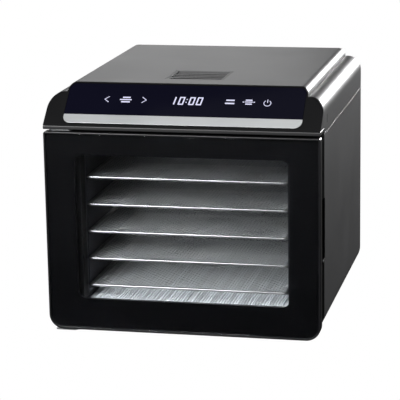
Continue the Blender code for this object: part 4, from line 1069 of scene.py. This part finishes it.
def clear_glass():
    """Glass that lets lamp light straight through, so that the trays behind it are lit."""
    material, tree, output = new_material("clear_glass")
    shader = tree.nodes.new("ShaderNodeBsdfPrincipled")
    shader.inputs["Base Color"].default_value = (0.93, 0.95, 0.97, 1)
    shader.inputs["Metallic"].default_value = 0.0
    shader.inputs["Transmission Weight"].default_value = 1.0
    shader.inputs["IOR"].default_value = 1.2
    shader.inputs["Roughness"].default_value = 0.0
    through = tree.nodes.new("ShaderNodeBsdfTransparent")
    through.inputs["Color"].default_value = (0.93, 0.95, 0.97, 1)
    path = tree.nodes.new("ShaderNodeLightPath")
    mix = tree.nodes.new("ShaderNodeMixShader")
    tree.links.new(path.outputs["Is Shadow Ray"], mix.inputs["Fac"])
    tree.links.new(shader.outputs[0], mix.inputs[1])
    tree.links.new(through.outputs[0], mix.inputs[2])
    tree.links.new(mix.outputs[0], output.inputs["Surface"])
    return material


bm = bmesh.new()
bmesh.ops.edgeloop_fill(bm, edges=rounded_frame(bm, *door_ring(GLASS_RIM + GAP, GLASS_FRONT), steps=12))
thicken(bm, bm.faces[:], GLASS_BACK - GLASS_FRONT)
bm.transform(UPRIGHT)
bmesh.ops.recalc_face_normals(bm, faces=bm.faces)
soften_edges(bm, 0.0005)
keep_flats(add_piece(bm, "glass_pane", clear_glass(), "door", "door_glass", "door_glass"))

ENAMEL_BLACK = finish_material("enamel_black", (0.0008, 0.0008, 0.0010), (0.0012, 0.0012, 0.0015), (0.30, 0.40), 0.0,
                               (800.0, 800.0, 800.0), 0.000001, Specular_IOR_Level=0.05)
enamel_front = GLASS_BACK + 0.00004
border_radii = (BORDER_CORNER, BORDER_CORNER)
rings = [door_ring(GLASS_RIM + 2 * GAP, enamel_front), door_ring(GLASS_RIM + 2 * GAP, enamel_front + ENAMEL),
         (BORDER_LOW, BORDER_HIGH, border_radii, enamel_front + ENAMEL),
         (BORDER_LOW, BORDER_HIGH, border_radii, enamel_front)]
bm = ring_solid(rings, steps=12, matrix=UPRIGHT)
add_piece(bm, "enamel_border", ENAMEL_BLACK, "door", "satin_black")

# ---------------------------------------------------------------- door seal
# Grey silicone bead round the mouth, held on the door's inner face by a plastic retainer.
SILICONE = finish_material("silicone", (0.022, 0.022, 0.026), (0.034, 0.034, 0.040), (0.52, 0.66), 0.0,
                           (1500.0, 1500.0, 1500.0), 0.00001)
softened("seal_bead", "door_seal", SILICONE, "seal_silicone", 0.0011, "door", 4)
softened("seal_channel", "door_seal_retainer", MOULDED_BLACK, "satin_black", 0.0004, "door")

# ---------------------------------------------------------------- rear cover, screws and mains inlet
# Plain black plate with rows of air slots, held by four pan head screws, with a strain relief bush.
softened("back_plate", "rear_cover", MOULDED_BLACK, "satin_black", 0.0003)
softened("relief_bush", "cord_inlet", MOULDED_BLACK, "satin_black", 0.0004)
coat(ZINC, *(f"rear_screw_{number}" for number in range(1, 5)))

# ---------------------------------------------------------------- feet
# Four round rubber feet pressed into the base.
RUBBER = finish_material("foot_rubber", (0.016, 0.016, 0.016), (0.030, 0.030, 0.030), (0.70, 0.85), 0.0,
                         (1800.0, 1800.0, 1800.0), 0.00002)
coat(RUBBER, *(f"foot_{number}" for number in range(1, 5)))
